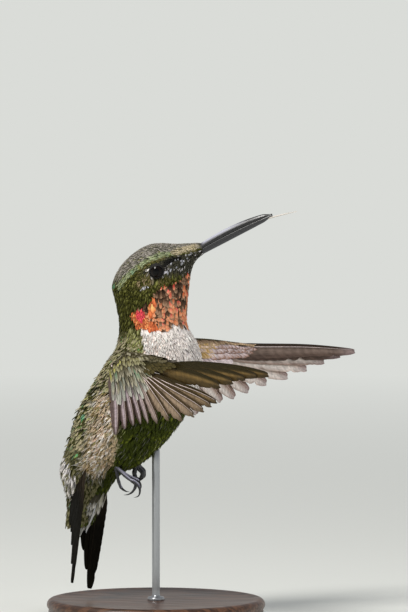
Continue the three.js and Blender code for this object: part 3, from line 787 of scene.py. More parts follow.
# Strokes of the markings: ring number, and degrees round from the dorsal line (90 is the side).
BROW = by_eye((-1, -60), (0, -38), (1.4, -15))
BROW_MINT = by_eye((-0.2, -40))
FOREHEAD = by_eye((1.6, -20), (2.6, -45))
NAPE_GLINTS = [(NAPE, 25)]
GAPE = by_eye((0.8, 32), (1.5, 30), (2.4, 5))
LORES = by_eye((0.5, 5), (1.2, 18))
SPECKLED = by_eye((0.1, 15), (0.8, 25))
EYE_RIM_BELOW = by_eye((-0.4, 10), (0, 17))
NOSTRIL = by_eye((1.8, 10))
EYE_CORNER = by_eye((0, -16))
BEHIND_EYE = by_eye((-0.2, -13), (-0.5, -4))
CRESCENT = by_eye((-0.7, -5), (-0.7, 6))
CHEEK_LINE = by_eye((-1.1, -16), (-0.9, -8))
EAR = by_eye((-0.8, -20), (-0.6, -5))
PINK_PATCH = [(NECK + 0.45, 82)]
ORANGE_PATCH = [(THROAT, 105), (NECK + 0.5, 100)]
GORGET_REAR = [(NECK + 0.4, 60), (THROAT, 100), (NAPE - 0.2, 112), (NAPE + 0.8, 175)]
NECK_PATCH = [(SHOULDERS + 0.5, 62), (SHOULDERS, 75)]
CHEST_REAR = [(FLANKS, 128), (BREAST, 90), (NECK - 0.3, 80)]
FLANK = [(FLANKS + 0.5, 65), (VENT + 0.5, 100)]
FLANK_FRONT = [(VENT + 0.5, 125), (FLANKS, 95), (BELLY, 55)]
HERRINGBONE = [(RUMP + 0.5, 100), (VENT + 0.5, 120)]
OCHRE = [(VENT + 0.3, 93)]
RUMP_CLOUD = [(VENT + 0.3, 15), (VENT, 45), (VENT - 0.7, 60)]
BELLY_RIM = [(FLANKS, 175), (RUMP - 0.3, 178)]
FLECKS = [(FLANKS + 0.4, 45)]
BACK_GLINTS = [(FLANKS - 0.1, 42)]
BACK_BARBS = [(RUMP, 15), (BELLY, 40)]
DARK_EDGE = [(RUMP, 8), (BELLY, 36)]
GORGET_TOP, CHEST_FOOT = NAPE + 0.75, BELLY - 0.1


def gorget_foot(a):
    """The ring where the gorget ends, a degrees round: level on the throat, higher at its corner on
    the side of the neck and in a notch to either side of the middle."""
    corner = 0.6 * smooth((75 - a) / 15)
    notch = 0.3 * np.exp(-(((a - 146) / 10) ** 2))
    return NECK - 0.2 + corner + notch


def nearness(points, stroke, reach, soft):
    """1 within reach mm of a stroke on either side of the body, fading to 0 over soft mm."""
    line = np.array(stroke, float)
    count = max(len(line) * 8, 9)
    at = np.linspace(0, len(line) - 1, count)
    ring = np.interp(at, np.arange(len(line)), line[:, 0])
    angle = np.interp(at, np.arange(len(line)), line[:, 1])
    marks = body.at(ring, angle)
    folded = points * np.array([1, 0, 1]) + np.abs(points[..., 1:2]) * np.array([0, 1, 0])
    best = np.full(points.shape[:-1], 1e9)
    for mark in marks:
        best = np.minimum(best, np.sum((folded - mark) ** 2, -1))
    return 1 - smooth((np.sqrt(best) - reach) / soft)


def along_stroke(stroke, values, by):
    """The other coordinate of a stroke at the values given, by its ring (0) or its angle (1)."""
    line = np.array(sorted(stroke, key=lambda mark: mark[by]), float)
    return np.interp(values, line[:, by], line[:, 1 - by])


def blend_in(colour, name, weight):
    return colour * (1 - weight[..., None]) + TINTS[name] * weight[..., None]


def in_gorget(ring, angle):
    a = np.abs(angle)
    floor = gorget_foot(a)
    rear = along_stroke(GORGET_REAR, ring, 0)
    return (ring > floor) & (a > rear) & (ring < GORGET_TOP)


def in_fringe(ring, angle):
    """The bright border of fine stripes along the foot of the gorget, widest on the side of the neck."""
    a = np.abs(angle)
    height = ring - gorget_foot(a)
    return in_gorget(ring, angle) & (height < 0.42 * smooth((116 - a) / 12) + 0.43 * smooth((98 - a) / 8))


def in_chest(ring, angle):
    a = np.abs(angle)
    return (ring < gorget_foot(a)) & (ring > CHEST_FOOT) & (a > along_stroke(CHEST_REAR, ring, 0))


def plumage(ring, angle, luck):
    """Colour, colour of the edge, and shine of the plumage at places on the body.

    luck: a row of random numbers from 0 to 1 for each place, which feathers there differ by.
    """
    a = np.abs(angle)
    points = body.at(ring, angle)
    near = lambda stroke, reach, soft: nearness(points, stroke, reach, soft)
    tint = np.broadcast_to(TINTS["back"], points.shape).copy()
    edge = np.broadcast_to(TINTS["back_edge"], points.shape).copy()
    gloss = np.full(len(ring), 0.15)

    def lay(weight, fill, rim=None, shine=None):
        nonlocal tint, edge, gloss
        weight = np.clip(weight, 0, 1)
        tint = blend_in(tint, fill, weight)
        edge = blend_in(edge, rim or fill, weight)
        if shine is not None:
            gloss = gloss * (1 - weight) + shine * weight

    some = lambda share, column=0: (luck[:, column] < share).astype(float)
    # Back and rump: olive, grey and buff, with darker feathers and a few bright glints.
    lay(some(0.34), "taupe", "back_edge")
    lay(some(0.3, 3), "back_dark", "olive")
    lay(some(0.1, 6), "moss", "back_edge")
    lay(smooth((2.2 - ring) / 0.8), "rump", "back")
    lay(smooth((2.2 - ring) / 0.8) * some(0.45, 1), "back_dark", "rump")
    lay(near(DARK_EDGE, 0.7, 0.5) * some(0.7, 4), "back_dark", "olive_dark", 0.2)
    lay(some(0.04, 1), "emerald", "olive_pale", 0.45)
    lay(near(BACK_GLINTS, 0.5, 0.4), "mint", "emerald", 0.45)
    # Belly and vent: dark olive with a yellow-green rim; the dark olive is partly the belly's own olive and
    # partly painted shadow cast by the wing.
    under = smooth((a - along_stroke(FLANK_FRONT, ring, 0)) / 8) * (ring < 5.6)
    lay(under, "belly", "belly", 0.15)
    lay(under * some(0.5, 3), "belly_dark", "belly", 0.1)
    lay(under * some(0.12, 4), "rim", "belly", 0.15)
    lay(near(BELLY_RIM, 1.4, 1.6) * some(0.7, 2), "rim", "belly", 0.2)
    # Flanks: buff and white down with fine dark lines.
    flank = near(FLANK, 2.0, 1.0)
    lay(flank, "buff", "buff_pale", 0.0)
    lay(near(FLANK, 0.7, 0.7) * some(0.75, 5), "peach", "white", 0.0)
    lay(flank * some(0.24, 2), "buff_dark", "buff", 0.0)
    lay(flank * some(0.26, 1), "buff_pale", "white", 0.0)
    lay(flank * some(0.14, 3), "moss", "buff", 0.05)
    herring = near(HERRINGBONE, 0.8, 0.5)
    lay(herring, "olive", "buff_pale", 0.05)
    lay(herring * some(0.4, 0), "buff_dark", "buff_pale", 0.0)
    lay(near(OCHRE, 0.6, 0.5) * some(0.75, 1), "ochre", "buff", 0.0)
    lay(near(FLECKS, 0.3, 0.3), "white", "white", 0.0)
    lay(near(RUMP_CLOUD, 1.1, 0.9) * some(0.6, 0), "cloud", "white", 0.0)
    # Neck and the sides of the head.
    head = smooth((ring - 6.2) / 0.6)
    lay(head, "olive", "olive_dark", 0.15)
    lay(head * some(0.36, 1), "olive_dark", "olive", 0.1)
    lay(head * some(0.26, 2), "olive_pale", "olive", 0.15)
    lay(near(NECK_PATCH, 0.9, 0.9) * some(0.75, 0), "neck_patch", "olive_pale", 0.1)
    side = smooth((ring - 8.6) / 0.5) * smooth((a - 70) / 10)
    lay(side * some(0.6, 4), "ear", "olive", 0.05)
    lay(near(EAR, 0.45, 0.4) * some(0.8, 6), "rufous", "ear", 0.0)
    lay(near(CHEEK_LINE, 0.1, 0.14), "cloud", "silver", 0.0)
    # Crown: dull grey-brown with pale scaled edges, above a green brow.
    brow_angle = along_stroke(BROW, np.minimum(ring, BROW[-1][0]), 0)
    crown = smooth((ring - NAPE + 0.1) / 0.9) * smooth((brow_angle - a + 2) / 6)
    lay(crown, "crown", "crown_edge", 0.05)
    lay(crown * some(0.36, 3), "crown_dark", "crown", 0.05)
    lay(crown * some(0.12, 2), "olive_pale", "crown_edge", 0.15)
    brow = near(BROW, 0.4, 0.4)
    lay(brow, "brow", "brow_edge", 0.15)
    lay(brow * some(0.3, 3), "olive_pale", "brow", 0.15)
    lay(brow * some(0.16, 4), "charcoal", "brow", 0.1)
    lay(near(BROW_MINT, 0.35, 0.3) * some(0.8, 5), "mint", "brow", 0.25)
    lay(near(NAPE_GLINTS, 0.35, 0.3) * some(0.7, 1), "mint", "emerald", 0.3)
    lay(near(FOREHEAD, 0.55, 0.5), "gold", "gold_edge", 0.1)
    lay(near(FOREHEAD, 0.55, 0.5) * some(0.28, 3), "charcoal", "gold", 0.1)
    # Lores, chin and the mask under the eye, flecked with silver.
    mask = smooth((ring - 9.5) / 0.5) * smooth((a - brow_angle - 14) / 8)
    lay(mask, "charcoal", "charcoal", 0.08)
    lay(mask * some(0.45, 0), "black", "charcoal", 0.05)
    lay(mask * some(0.16, 5), "grey", "charcoal", 0.0)
    lay(near(LORES, 0.4, 0.3), "black", "black", 0.08)
    lay(near(SPECKLED, 0.6, 0.3) * some(0.26, 6), "silver", "charcoal", 0.05)
    lay(near(EYE_RIM_BELOW, 0.16, 0.14) * some(0.8, 4), "silver", "cloud", 0.05)
    lay(near(NOSTRIL, 0.1, 0.12), "silver", "white", 0.0)
    # The silver edges along the gape are a painted highlight, the light on the edge of the lower mandible.
    lay(near(GAPE, 0.12, 0.14) * some(0.5, 6), "charcoal", "silver", 0.05)
    # Gorget: dull scales above, fiery ones here and there, a striped bright fringe and a pink patch.
    scale = in_gorget(ring, angle).astype(float)
    lay(scale, "dull", "dull_edge", 0.08)
    lay(scale * some(0.42, 1), "dull_dark", "dull", 0.1)
    # Painted iridescent glints: the fiery scales here and the orange, yellow, red and pink ones below stand
    # for where the gorget's scales flash in the light.
    lay(scale * some(0.16, 3) * smooth((a - 112) / 10), "deep_orange", "ember", 0.2)
    low = scale * (ring - gorget_foot(a) < 0.8)
    lay(low * some(0.5, 6), "orange", "ember", 0.2)
    front = scale * smooth((a - 112) / 8)
    lay(front * some(0.13, 5), "orange", "ember", 0.22)
    lay(front * some(0.07, 4), "red", "ember", 0.22)
    lay(front * some(0.06, 2), "hot", "ember", 0.22)
    lay(scale * near(ORANGE_PATCH, 0.5, 0.2), "orange", "deep_orange", 0.2)
    lay(scale * near(ORANGE_PATCH, 0.4, 0.2) * some(0.3, 1), "yellow", "orange", 0.2)
    # The fringe's bright stripes are painted iridescent glints too, and its dark stripes between them painted
    # shade.
    fringe = in_fringe(ring, angle).astype(float)
    lay(fringe, "orange", "deep_orange", 0.2)
    lay(fringe * some(0.42, 2), "yellow", "orange", 0.15)
    lay(fringe * some(0.22, 3), "between", "deep_orange", 0.1)
    patch = scale * near(PINK_PATCH, 0.95, 0.16)
    lay(patch, "pink", "hot", 0.25)
    lay(patch * some(0.24, 4), "wine", "pink", 0.2)
    # The white marks round the eye.
    lay(near(EYE_CORNER, 0.16, 0.12), "white", "white", 0.0)
    lay(near(BEHIND_EYE, 0.2, 0.14), "white", "cloud", 0.0)
    lay(near(CRESCENT, 0.14, 0.1), "white", "white", 0.0)
    # Chest: white with buff and grey streaks.
    fade = smooth((ring - BELLY + 0.2 + 0.9 * (luck[:, 3] - 0.5)) / 0.5)
    chest = in_chest(ring, angle) * fade
    lay(chest, "chest", "white", 0.0)
    lay(chest * some(0.3, 1) * smooth((140 - a) / 30), "blush", "chest", 0.0)
    lay(chest * some(0.3, 2) * smooth((a - 110) / 25), "grey", "chest", 0.0)
    wobble = 0.84 + 0.32 * luck[:, 7:8]
    return tint * wobble, edge * wobble, gloss


# ---------------------------------------------------------------- small feathers over the body

# mm between feathers, and the depth of the coat, at each ring.
RINGS = np.arange(LAST_RING + 1)
GAP = np.array([0.84, 0.8, 0.76, 0.72, 0.68, 0.64, 0.6, 0.58, 0.56, 0.5, 0.43, 0.4, 0.33, 0.24])
COAT = np.array([0.6, 0.65, 0.7, 0.7, 0.65, 0.6, 0.5, 0.42, 0.38, 0.34, 0.3, 0.27, 0.2, 0.12])
TOP_ROOT, TOP_FILAMENT = 12.98, 6.8  # the highest rings at which feathers and loose barbs are rooted
FIRST_ROW = 0.6  # rows of feathers from the top of a surface to the first one
ROOT_JITTER = 0.16  # how far roots stray, as a share of their spacing


def coat_depth(ring):
    return np.interp(ring, RINGS, COAT)


def quilt(surface, gap_along, gap_across, top):
    """Roots of feathers in staggered rows from the high end of p down: p and q of each."""
    p, q = surface.p, surface.q[::3]
    points = surface.points[:, ::3]
    step = np.linalg.norm(np.diff(points, axis=0), axis=-1)
    middle = (p[1:] + p[:-1]) / 2
    gap = gap_along(middle[:, None], q[None, :])
    keep = middle[:, None] < top
    count = np.cumsum((step / gap * keep)[::-1], axis=0)[::-1]
    count = np.vstack([count, np.zeros(len(q))])
    rows_p, rows_q = [], []
    for k in np.arange(FIRST_ROW, count.max(), 1.0):
        line = np.array([np.interp(-k, -count[:, j], p, left=np.nan) for j in range(len(q))])
        line = np.where(count.max(0) < k, np.nan, line)
        if np.isnan(line).all():
            continue
        fixed = np.where(np.isnan(line), surface.p0, line)
        curve = surface.at(fixed, q)
        run = np.linalg.norm(np.diff(curve, axis=0), axis=-1) / gap_across(fixed[1:], q[1:])
        total = np.concatenate([[0], np.cumsum(run)])
        n = int(round(total[-1]))
        if n < 2:
            continue
        places = (np.arange(n) + 0.25 + 0.5 * (round(k - FIRST_ROW) % 2)) / n * total[-1]
        found_q = np.interp(places, total, q)
        found_p = np.interp(found_q, q, line)
        ok = ~np.isnan(found_p)
        rows_p.append(found_p[ok])
        rows_q.append(found_q[ok])
    p_all, q_all = np.concatenate(rows_p), np.concatenate(rows_q)
    along, across, _ = surface.tangents(p_all, q_all)
    g = gap_along(p_all, q_all)
    shift = rng.normal(size=(2, len(p_all))) * ROOT_JITTER * g
    return (p_all + shift[0] / np.linalg.norm(along, axis=-1),
            q_all + shift[1] / np.linalg.norm(across, axis=-1))


def body_gap(scale=1.0):
    """Spacing of the feathers: scales are large in the gorget, and the stripes along its foot fine."""
    def gap(ring, angle):
        ring, angle = np.broadcast_arrays(ring, angle)
        shown = ring - 0.3
        fine = in_fringe(shown, angle)
        scaly = in_gorget(shown, angle) & ~fine
        wider = scaly * (0.06 + 0.42 * smooth((9.9 - shown) / 1.2))
        return scale * (np.interp(ring, RINGS, GAP) - 0.19 * fine + wider)
    return gap


def shown_ring(ring, angle, reach):
    """The ring at which a feather rooted at a ring shows: that of the point reach mm down from it."""
    along, _, _ = body.tangents(ring, angle)
    return ring - reach / np.linalg.norm(along, axis=-1)


def eye_frame(side):
    """The centre of an eye, and its directions outwards, to the bill and up."""
    at = np.array([EYE["ring"]]), np.array([EYE["angle"] * side])
    normal, ahead = body.tangents(*at)[2][0], np.array([1.0, 0, 0.35])
    forward = unit(ahead - normal * np.dot(ahead, normal))
    return body.at(*at)[0] - EYE["sunk"] * normal, normal, forward, np.cross(normal, forward) * -side


EYES = {name: eye_frame(side) for name, side in SIDE.items()}
BARE_ROUND_EYE = 1.42  # mm from an eye's axis that feathers keep clear


def round_eye(side_name, turn, reach, height):
    """Points reach mm out from an eye's axis, turned round it, and height mm along it."""
    centre, normal, forward, upward = EYES[side_name]
    return (centre + forward * (np.cos(turn) * reach)[..., None]
            + upward * (np.sin(turn) * reach)[..., None] + normal * height[..., None])


def clear_of_eyes(p, q, length):
    """Feathers in front of an eye shortened so that none lies over it, and those inside dropped."""
    along, _, _ = body.tangents(p, q)
    down = -unit(along)
    root = body.at(p, q)
    share = np.ones(len(p))
    for centre, normal, _, upward in EYES.values():
        for t in np.linspace(1, 0, 9):
            tip = root + down * (length * t)[:, None]
            rel = tip - centre
            depth = rel @ normal
            away = np.linalg.norm(rel - depth[:, None] * normal, axis=-1)
            bare = BARE_ROUND_EYE - 0.22 * smooth(rel @ upward / 1.2)
            hit = (away < bare) & (depth > 0)
            share = np.where(hit, np.minimum(share, t - 0.12), share)
    return share


# The pieces of the coat, each with the ring that it starts at, from the bill back.
COAT_PIECES = {
    "plumage_head": 9.2, "plumage_throat_and_neck": 6.6, "plumage_chest_and_shoulders": 4.6,
    "plumage_belly_and_back": 2.4, "plumage_rump_and_vent": -np.inf,
}


def body_feathers():
    """Every small feather of the body, as sets that become one piece each."""
    ring, angle = quilt(body, body_gap(), body_gap(0.92), TOP_ROOT)
    n = len(ring)
    luck = rng.random((n, 8))
    gap = body_gap()(ring, angle)
    depth = coat_depth(ring)
    shown = shown_ring(ring, angle, 1.9 * gap)
    points = body.at(shown, angle)
    flank = nearness(points, FLANK, 2.2, 1.4)
    cloud = nearness(points, RUMP_CLOUD, 1.4, 1.2)
    chest = in_chest(shown, angle)
    gorget = in_gorget(shown, angle)
    fringe = in_fringe(shown, angle)
    scaly = gorget & ~fringe
    down = (flank > 0.4) | (cloud > 0.5)
    length = gap * (2.7 + 0.6 * luck[:, 5]) * np.where(down, 1.3, 1) * np.where(scaly, 0.76, 1)
    length = length * np.where(fringe, 1.2, 1) * np.where(chest, 1.3, 1)
    half = gap * (0.5 + 0.12 * luck[:, 6]) * np.where(down, 0.8, 1) * np.where(scaly, 1.16, 1)
    half = half * np.where(fringe, 0.7, 1) * np.where(chest, 0.75, 1)
    heading = rng.normal(size=n) * np.where(down, 17, np.where(gorget, 3, 6))
    lift = 0.02 + 0.12 * gap * luck[:, 7] ** 3 + 0.3 * cloud * luck[:, 3] + 0.14 * flank * luck[:, 3]
    lift = lift + ((np.abs(angle) < 70) & (ring < 5) & (luck[:, 0] < 0.06)) * 0.4
    fray = np.where(down, 0.2, np.where(chest, 0.18, np.where(gorget, 0.03, 0.1)))
    share = clear_of_eyes(ring, angle, length)
    length = length * share
    keep = (share > 0.3) & (ring > -0.6)
    tint, edge, gloss = plumage(shown_ring(ring, angle, length - 0.55 * gap), angle, luck)
    bake = on_body_map(ring, angle)

    def group(mask, outline, camber, curl, root):
        at = np.nonzero(mask)[0]
        return feathers(body, ring[at], angle[at], heading[at], length[at], half[at], depth[at], lift[at],
                        curl * depth[at], camber, fray[at], outline, tint[at], edge[at], gloss[at], bake[at],
                        root=root)

    soft = down | chest
    forms = ((gorget, "scale", 0.32, 0.1, 0.5), (soft & ~gorget, "lance", 0.12, 0.0, 0.84),
             (~gorget & ~soft, "round", 0.25, 0.05, 0.64))
    pieces, top = {}, np.inf
    for name, low in COAT_PIECES.items():
        zone = (ring < top) & (ring >= low) & keep
        pieces[name] = [group(zone & mask, *form) for mask, *form in forms if (zone & mask).any()]
        top = low
    return pieces


FILAMENTS = 1650
# Long plumes: the stroke they grow along, how many on each side, length, half width, how far their
# tips stand out, colour and colour of the edge.
PLUMES = [
    (RUMP_CLOUD, 9, 3.6, 0.75, 0.6, "cloud", "white"), (BACK_BARBS, 5, 2.9, 0.3, 0.8, "back_dark", "olive"),
]


def filaments():
    """Fine loose barbs that stand a little off the softest plumage, and a few long plumes."""
    ring, angle = quilt(body, body_gap(0.8), body_gap(0.8), TOP_FILAMENT)
    points = body.at(ring, angle)
    flank = nearness(points, FLANK, 2.2, 1.2)
    cloud = nearness(points, RUMP_CLOUD, 1.4, 1.2)
    chest = in_chest(ring, angle)
    weight = 6 * flank + 5 * cloud + 1.1 * chest + 0.6 * (ring > -0.5)
    at = rng.choice(len(ring), FILAMENTS, replace=False, p=weight / weight.sum())
    ring, angle, flank, cloud, chest = ring[at], angle[at], flank[at], cloud[at], chest[at]
    n = len(ring)
    luck = rng.random((n, 8))
    soft = np.maximum(flank, cloud)
    length = 1.5 + 1.3 * np.maximum(soft, 0.3) * luck[:, 0]
    tint, _, _ = plumage(shown_ring(ring, angle, 0.6 * length), angle, luck)
    paler = 0.1 + 0.45 * soft * luck[:, 1] + 0.3 * chest * luck[:, 2]
    tint = tint + (TINTS["white"] - tint) * paler[:, None]
    bake = on_body_map(ring, angle)
    fine = feathers(
        body, ring, angle, heading=rng.normal(size=n) * (8 + 20 * soft), length=length,
        half=0.06 + 0.03 * luck[:, 3], depth=0.3, lift=0.1 + 0.35 * soft * luck[:, 4], curl=0, camber=0.2,
        fray=0.1, outline="lance", tint=tint, edge=tint, gloss=0, bake=bake, base=0.04, root=0.8)
    sets = [fine]
    for stroke, count, long, wide, stand, fill, rim in PLUMES:
        line = np.array(stroke, float)
        along = np.linspace(0, len(line) - 1, count)
        p, q = (np.interp(along, np.arange(len(line)), line[:, k]) for k in (0, 1))
        p, q = np.concatenate([p, p]) + rng.normal(size=2 * count) * 0.1, np.concatenate([q, -q])
        m = 2 * count
        shade = 0.75 + 0.4 * rng.random((m, 1))
        bake = on_body_map(p, q)
        sets.append(feathers(
            body, p, q, heading=rng.normal(size=m) * 18, length=long * (0.7 + 0.5 * rng.random(m)),
            half=wide, depth=0.35, lift=stand * rng.random(m), curl=0.1, camber=0.3, fray=0.3,
            outline="round", tint=TINTS[fill] * shade, edge=TINTS[rim] * shade, gloss=0, bake=bake,
            base=0.05, shaft=TINTS["white"] * shade * 0.9, root=0.7))
    return sets


# ---------------------------------------------------------------- skin

# The hollow in the skin for each eye: the radius of its flat middle and of its rim, and its depth.
BOWL_FLAT, BOWL_RADIUS, BOWL_DEEP = 1.15, 1.6, 0.9
SKIN_UNDER_COAT = 0.06  # mm from the roots of the feathers down to the skin


def body_skin():
    """The skin under the coat, from the tail to the bill, closed at both ends."""
    # Rings and angles stand closer together round the eyes.
    rings = [np.arange(-0.4, 9.2, 0.12), np.arange(9.2, 10.9, 0.05), np.arange(10.9, 13.01, 0.1)]
    half = np.concatenate([np.arange(0, 82, 3.0), np.arange(82, 129, 1.0), np.arange(129, 180, 3.0)])
    angles = np.concatenate([-half[::-1][:-1], half])
    angles = np.append(angles, 180.0) if len(angles) % 2 else angles
    ring, angle = np.meshgrid(np.concatenate(rings), angles, indexing="ij")
    points = body.at(ring, angle, -coat_depth(ring) - SKIN_UNDER_COAT)
    for centre, normal, _, _ in EYES.values():
        rise = (points - centre) @ normal
        away = np.linalg.norm(points - centre - rise[..., None] * normal, axis=-1)
        bowl = (1 - smooth((away - BOWL_FLAT) / (BOWL_RADIUS - BOWL_FLAT))) * (rise > 0)
        points = points - normal * (bowl * BOWL_DEEP)[..., None]
    ring, angle = ring.ravel(), angle.ravel()
    tint, _, _ = plumage(ring, angle, np.full((len(ring), 8), 0.99))
    uv = on_body_map(ring, angle)
    # The skin takes the plumage's colours at half their brightness: painted shade in the gaps between the
    # feathers.
    return *loft(points), tint * 0.5, uv * np.array([0.6, 1.0])


LID_COLOUR = linear(34, 32, 31)
SIDE_CORNER = {"right": 0.63, "left": 0.82}  # where each side's lids and arm start across the skin's map


def eyelids(side_name):
    """Both lids as one ring round the eye, folded, with fine beads along its rim."""
    around = np.linspace(0, 2 * np.pi, 96, endpoint=False)
    turn, across = np.meshgrid(around, np.linspace(0, 1, 9), indexing="ij")
    opening = 1.2 + 0.09 * np.cos(turn) ** 2 - 0.16 * np.maximum(np.sin(turn), 0)
    beads = 0.02 * np.cos(turn * 34) * np.sin(np.pi * np.clip(across * 1.6, 0, 1))
    reach = opening + across * 0.62
    swell = 0.13 * np.sin(np.pi * np.clip(across * 1.25 + 0.12, 0, 1)) ** 0.8
    fold = -0.05 * np.exp(-((across - 0.5) / 0.09) ** 2)
    radius = EYE["radius"] + 0.02 + swell + fold + beads
    low = np.sqrt(np.maximum(EYE["radius"] ** 2 - np.minimum(reach, 1.55) ** 2, 0.02))
    height = low / EYE["radius"] * radius - 0.5 * np.maximum(reach - 1.5, 0)
    inner = round_eye(side_name, turn, reach, height - 0.25)
    rings = np.concatenate([round_eye(side_name, turn, reach, height), inner[:, ::-1]], axis=1)
    rows, count = rings.shape[:2]
    i, j = np.meshgrid(np.arange(rows), np.arange(count), indexing="ij")
    k, m = (j + 1) % count, (i + 1) % rows
    quads = np.stack([i * count + j, i * count + k, m * count + k, m * count + j], -1).reshape(-1, 4)
    flat_points = rings.reshape(-1, 3)
    rim = np.clip(1 - np.abs(j / count * 2 - 0.2) * 4, 0, 1).reshape(-1, 1)
    tint = LID_COLOUR * (1 - 0.5 * rim)
    uv = np.stack([SIDE_CORNER[side_name] + 0.15 * i / rows, 0.02 + 0.2 * j / count], -1).reshape(-1, 2)
    return flat_points, outward(flat_points, quads), tint, uv


def arm_skin(side_name):
    pose = POSE[side_name]
    make = arm_points(side_name, wing_placer(side_name), -0.2)
    run = np.linspace(ARM["start"] + 0.3, pose["hand"]["end"] - 0.4, 60)
    s, q = np.meshgrid(run, np.linspace(0, 360, 40, endpoint=False), indexing="ij")
    points, quads = loft(make(s, q))
    # Dark olive at 0.8 of its brightness: painted shade in the gaps between the coverts.
    tint = np.broadcast_to(TINTS["olive_dark"], points.shape) * 0.8
    uv = np.stack([SIDE_CORNER[side_name] + 0.15 * q / 360, 0.25 + 0.7 * (s + 4) / 28], -1).reshape(-1, 2)
    return points, quads, tint, uv


# ---------------------------------------------------------------- eyes, bill and tongue


def eyeball(side_name):
    """The front of the ball, with a slightly steeper cornea, closed behind."""
    around = np.linspace(0, 2 * np.pi, 48, endpoint=False)
    tilt, turn = np.meshgrid(np.linspace(0.012, 2.2, 44), around, indexing="ij")
    radius = EYE["radius"] - 0.02 + 0.07 * (1 - smooth(tilt / 0.62))
    points = round_eye(side_name, turn, np.sin(tilt) * radius, np.cos(tilt) * radius)
    wide = tilt.reshape(-1, 1)
    iris = smooth((wide - 0.4) / 0.05) * (1 - smooth((wide - 0.66) / 0.1))
    tint = lerp(linear(2, 2, 3), linear(20, 13, 9), iris)
    return new_piece(f"eye_{side_name}_ball", *loft(points), eye_made, tint)


# Colours that the horn's own is added to: dark horn, and the pale painted highlight along the top of the
# bill.
BILL_DARK, BILL_HIGHLIGHT = linear(8, 8, 9), linear(186, 186, 200)
BILL_ROWS, BILL_STEPS, MOUTH_STEPS = 64, 15, 7  # rows along a mandible, points over it and inside it
BILL_HALF_WIDTH = (0.95, 0.4)  # at its root and its tip
UPPER_SHARE = 0.52  # share of the bill's depth that is upper mandible
MOUTH_GAP = 0.03  # mm that the lips of each mandible keep from their shared line


def mandible(upper):
    """One half of the bill: a rounded ridge over the lips, hollowed a little along its side."""
    t = np.linspace(-0.1, 1, BILL_ROWS)
    ridge_line, other_line = (CULMEN, GONYS) if upper else (GONYS, CULMEN)
    ridge2, other2 = bezier(ridge_line, t), bezier(other_line, t)
    lips2 = lerp(ridge2, other2, UPPER_SHARE if upper else 1 - UPPER_SHARE)
    depth2 = ridge2 - lips2
    lips2 = lips2 + depth2 * (MOUTH_GAP / np.linalg.norm(depth2, axis=-1, keepdims=True))
    depth2 = (ridge2 - lips2)[:, None]
    sharp = (1 - smooth((t - 0.86) / 0.14) * 0.55)[:, None]
    half = lerp(*BILL_HALF_WIDTH, np.maximum(t, 0) ** 0.8)[:, None] * sharp
    a, floor = np.linspace(0, np.pi, BILL_STEPS), np.linspace(-1, 1, MOUTH_STEPS)
    groove = 1 - 0.10 * np.exp(-((np.abs(np.cos(a)) - 0.72) / 0.12) ** 2)
    out = np.concatenate([np.cos(a) * groove * half, 0.82 * floor * half], axis=1)
    every = np.ones_like(half)
    up = np.concatenate([np.sin(a) ** 0.85 * sharp, 0.16 * (1 - floor**2) * every], axis=1)
    plane = lips2[:, None] + depth2 * up[..., None]
    points, quads = loft(np.stack([plane[..., 0], out, plane[..., 1]], -1))
    height = np.concatenate([np.sin(a), np.zeros_like(floor)])[None, :]
    # A painted highlight: pale along the top of the upper mandible, where light falls on its ridge, and faint
    # along the ridge of the lower.
    if upper:
        wear_and_highlight = smooth((height - 0.5) / 0.25) * (smooth((t + 0.02) / 0.06) * smooth((0.7 - t) / 0.4))[:, None]
    else:
        wear_and_highlight = 0.08 * height * every
    tint = (BILL_DARK + wear_and_highlight[..., None] * (BILL_HIGHLIGHT - BILL_DARK)).reshape(-1, 3)
    name = "bill_upper_mandible" if upper else "bill_lower_mandible"
    piece = new_piece(name, points, quads, bill_made, tint)
    return dress(piece, "bill", "bill_upper" if upper else "bill_lower")


def tongue_piece():
    """The tongue: a thread that is forked and frayed at its tip."""
    parts = []
    t = np.linspace(0, 1, 40)
    line2 = bezier(TONGUE, t)
    line = np.stack([line2[:, 0], 0 * t, line2[:, 1]], -1)
    shaft = line[t < 0.82]
    radius = lerp(0.2, 0.11, np.linspace(0, 1, len(shaft)))
    parts.append(loft(tube(shaft, radius, 10)))
    for side in (-1, 1):
        fork = line[t >= 0.78].copy()
        share = np.linspace(0, 1, len(fork))
        fork[:, 1] += side * 0.16 * share**1.3
        fork[:, 2] += side * 0.05 * share**2
        parts.append(loft(tube(fork, lerp(0.09, 0.03, share), 8)))
        for k in range(5):
            at = fork[2 + k]
            tip = at + np.array([0.32, side * 0.12, 0.05 - 0.02 * k])
            hair = lerp(at, tip, np.linspace(0, 1, 5)[:, None])
            parts.append(loft(tube(hair, [0.02, 0.018, 0.015, 0.012, 0.008], 6)))
    points, quads = merged(parts)
    return new_piece("tongue_forked", points, quads, tongue_made, np.zeros((len(points), 3)))


# ---------------------------------------------------------------- flight feathers

QUILL_ROWS, SHAFT_ROWS, SHAFT_SIDES = 56, 40, 6
VANE_ARCH, VANE_THICK = 0.09, 0.05  # mm that a vane arches up at its shaft, and its thickness there


def vane_width(t, blunt):
    rise = smooth(t / 0.3)
    fall = np.maximum(1 - t**blunt, 0) ** 0.55
    return 0.2 + 0.8 * rise * fall


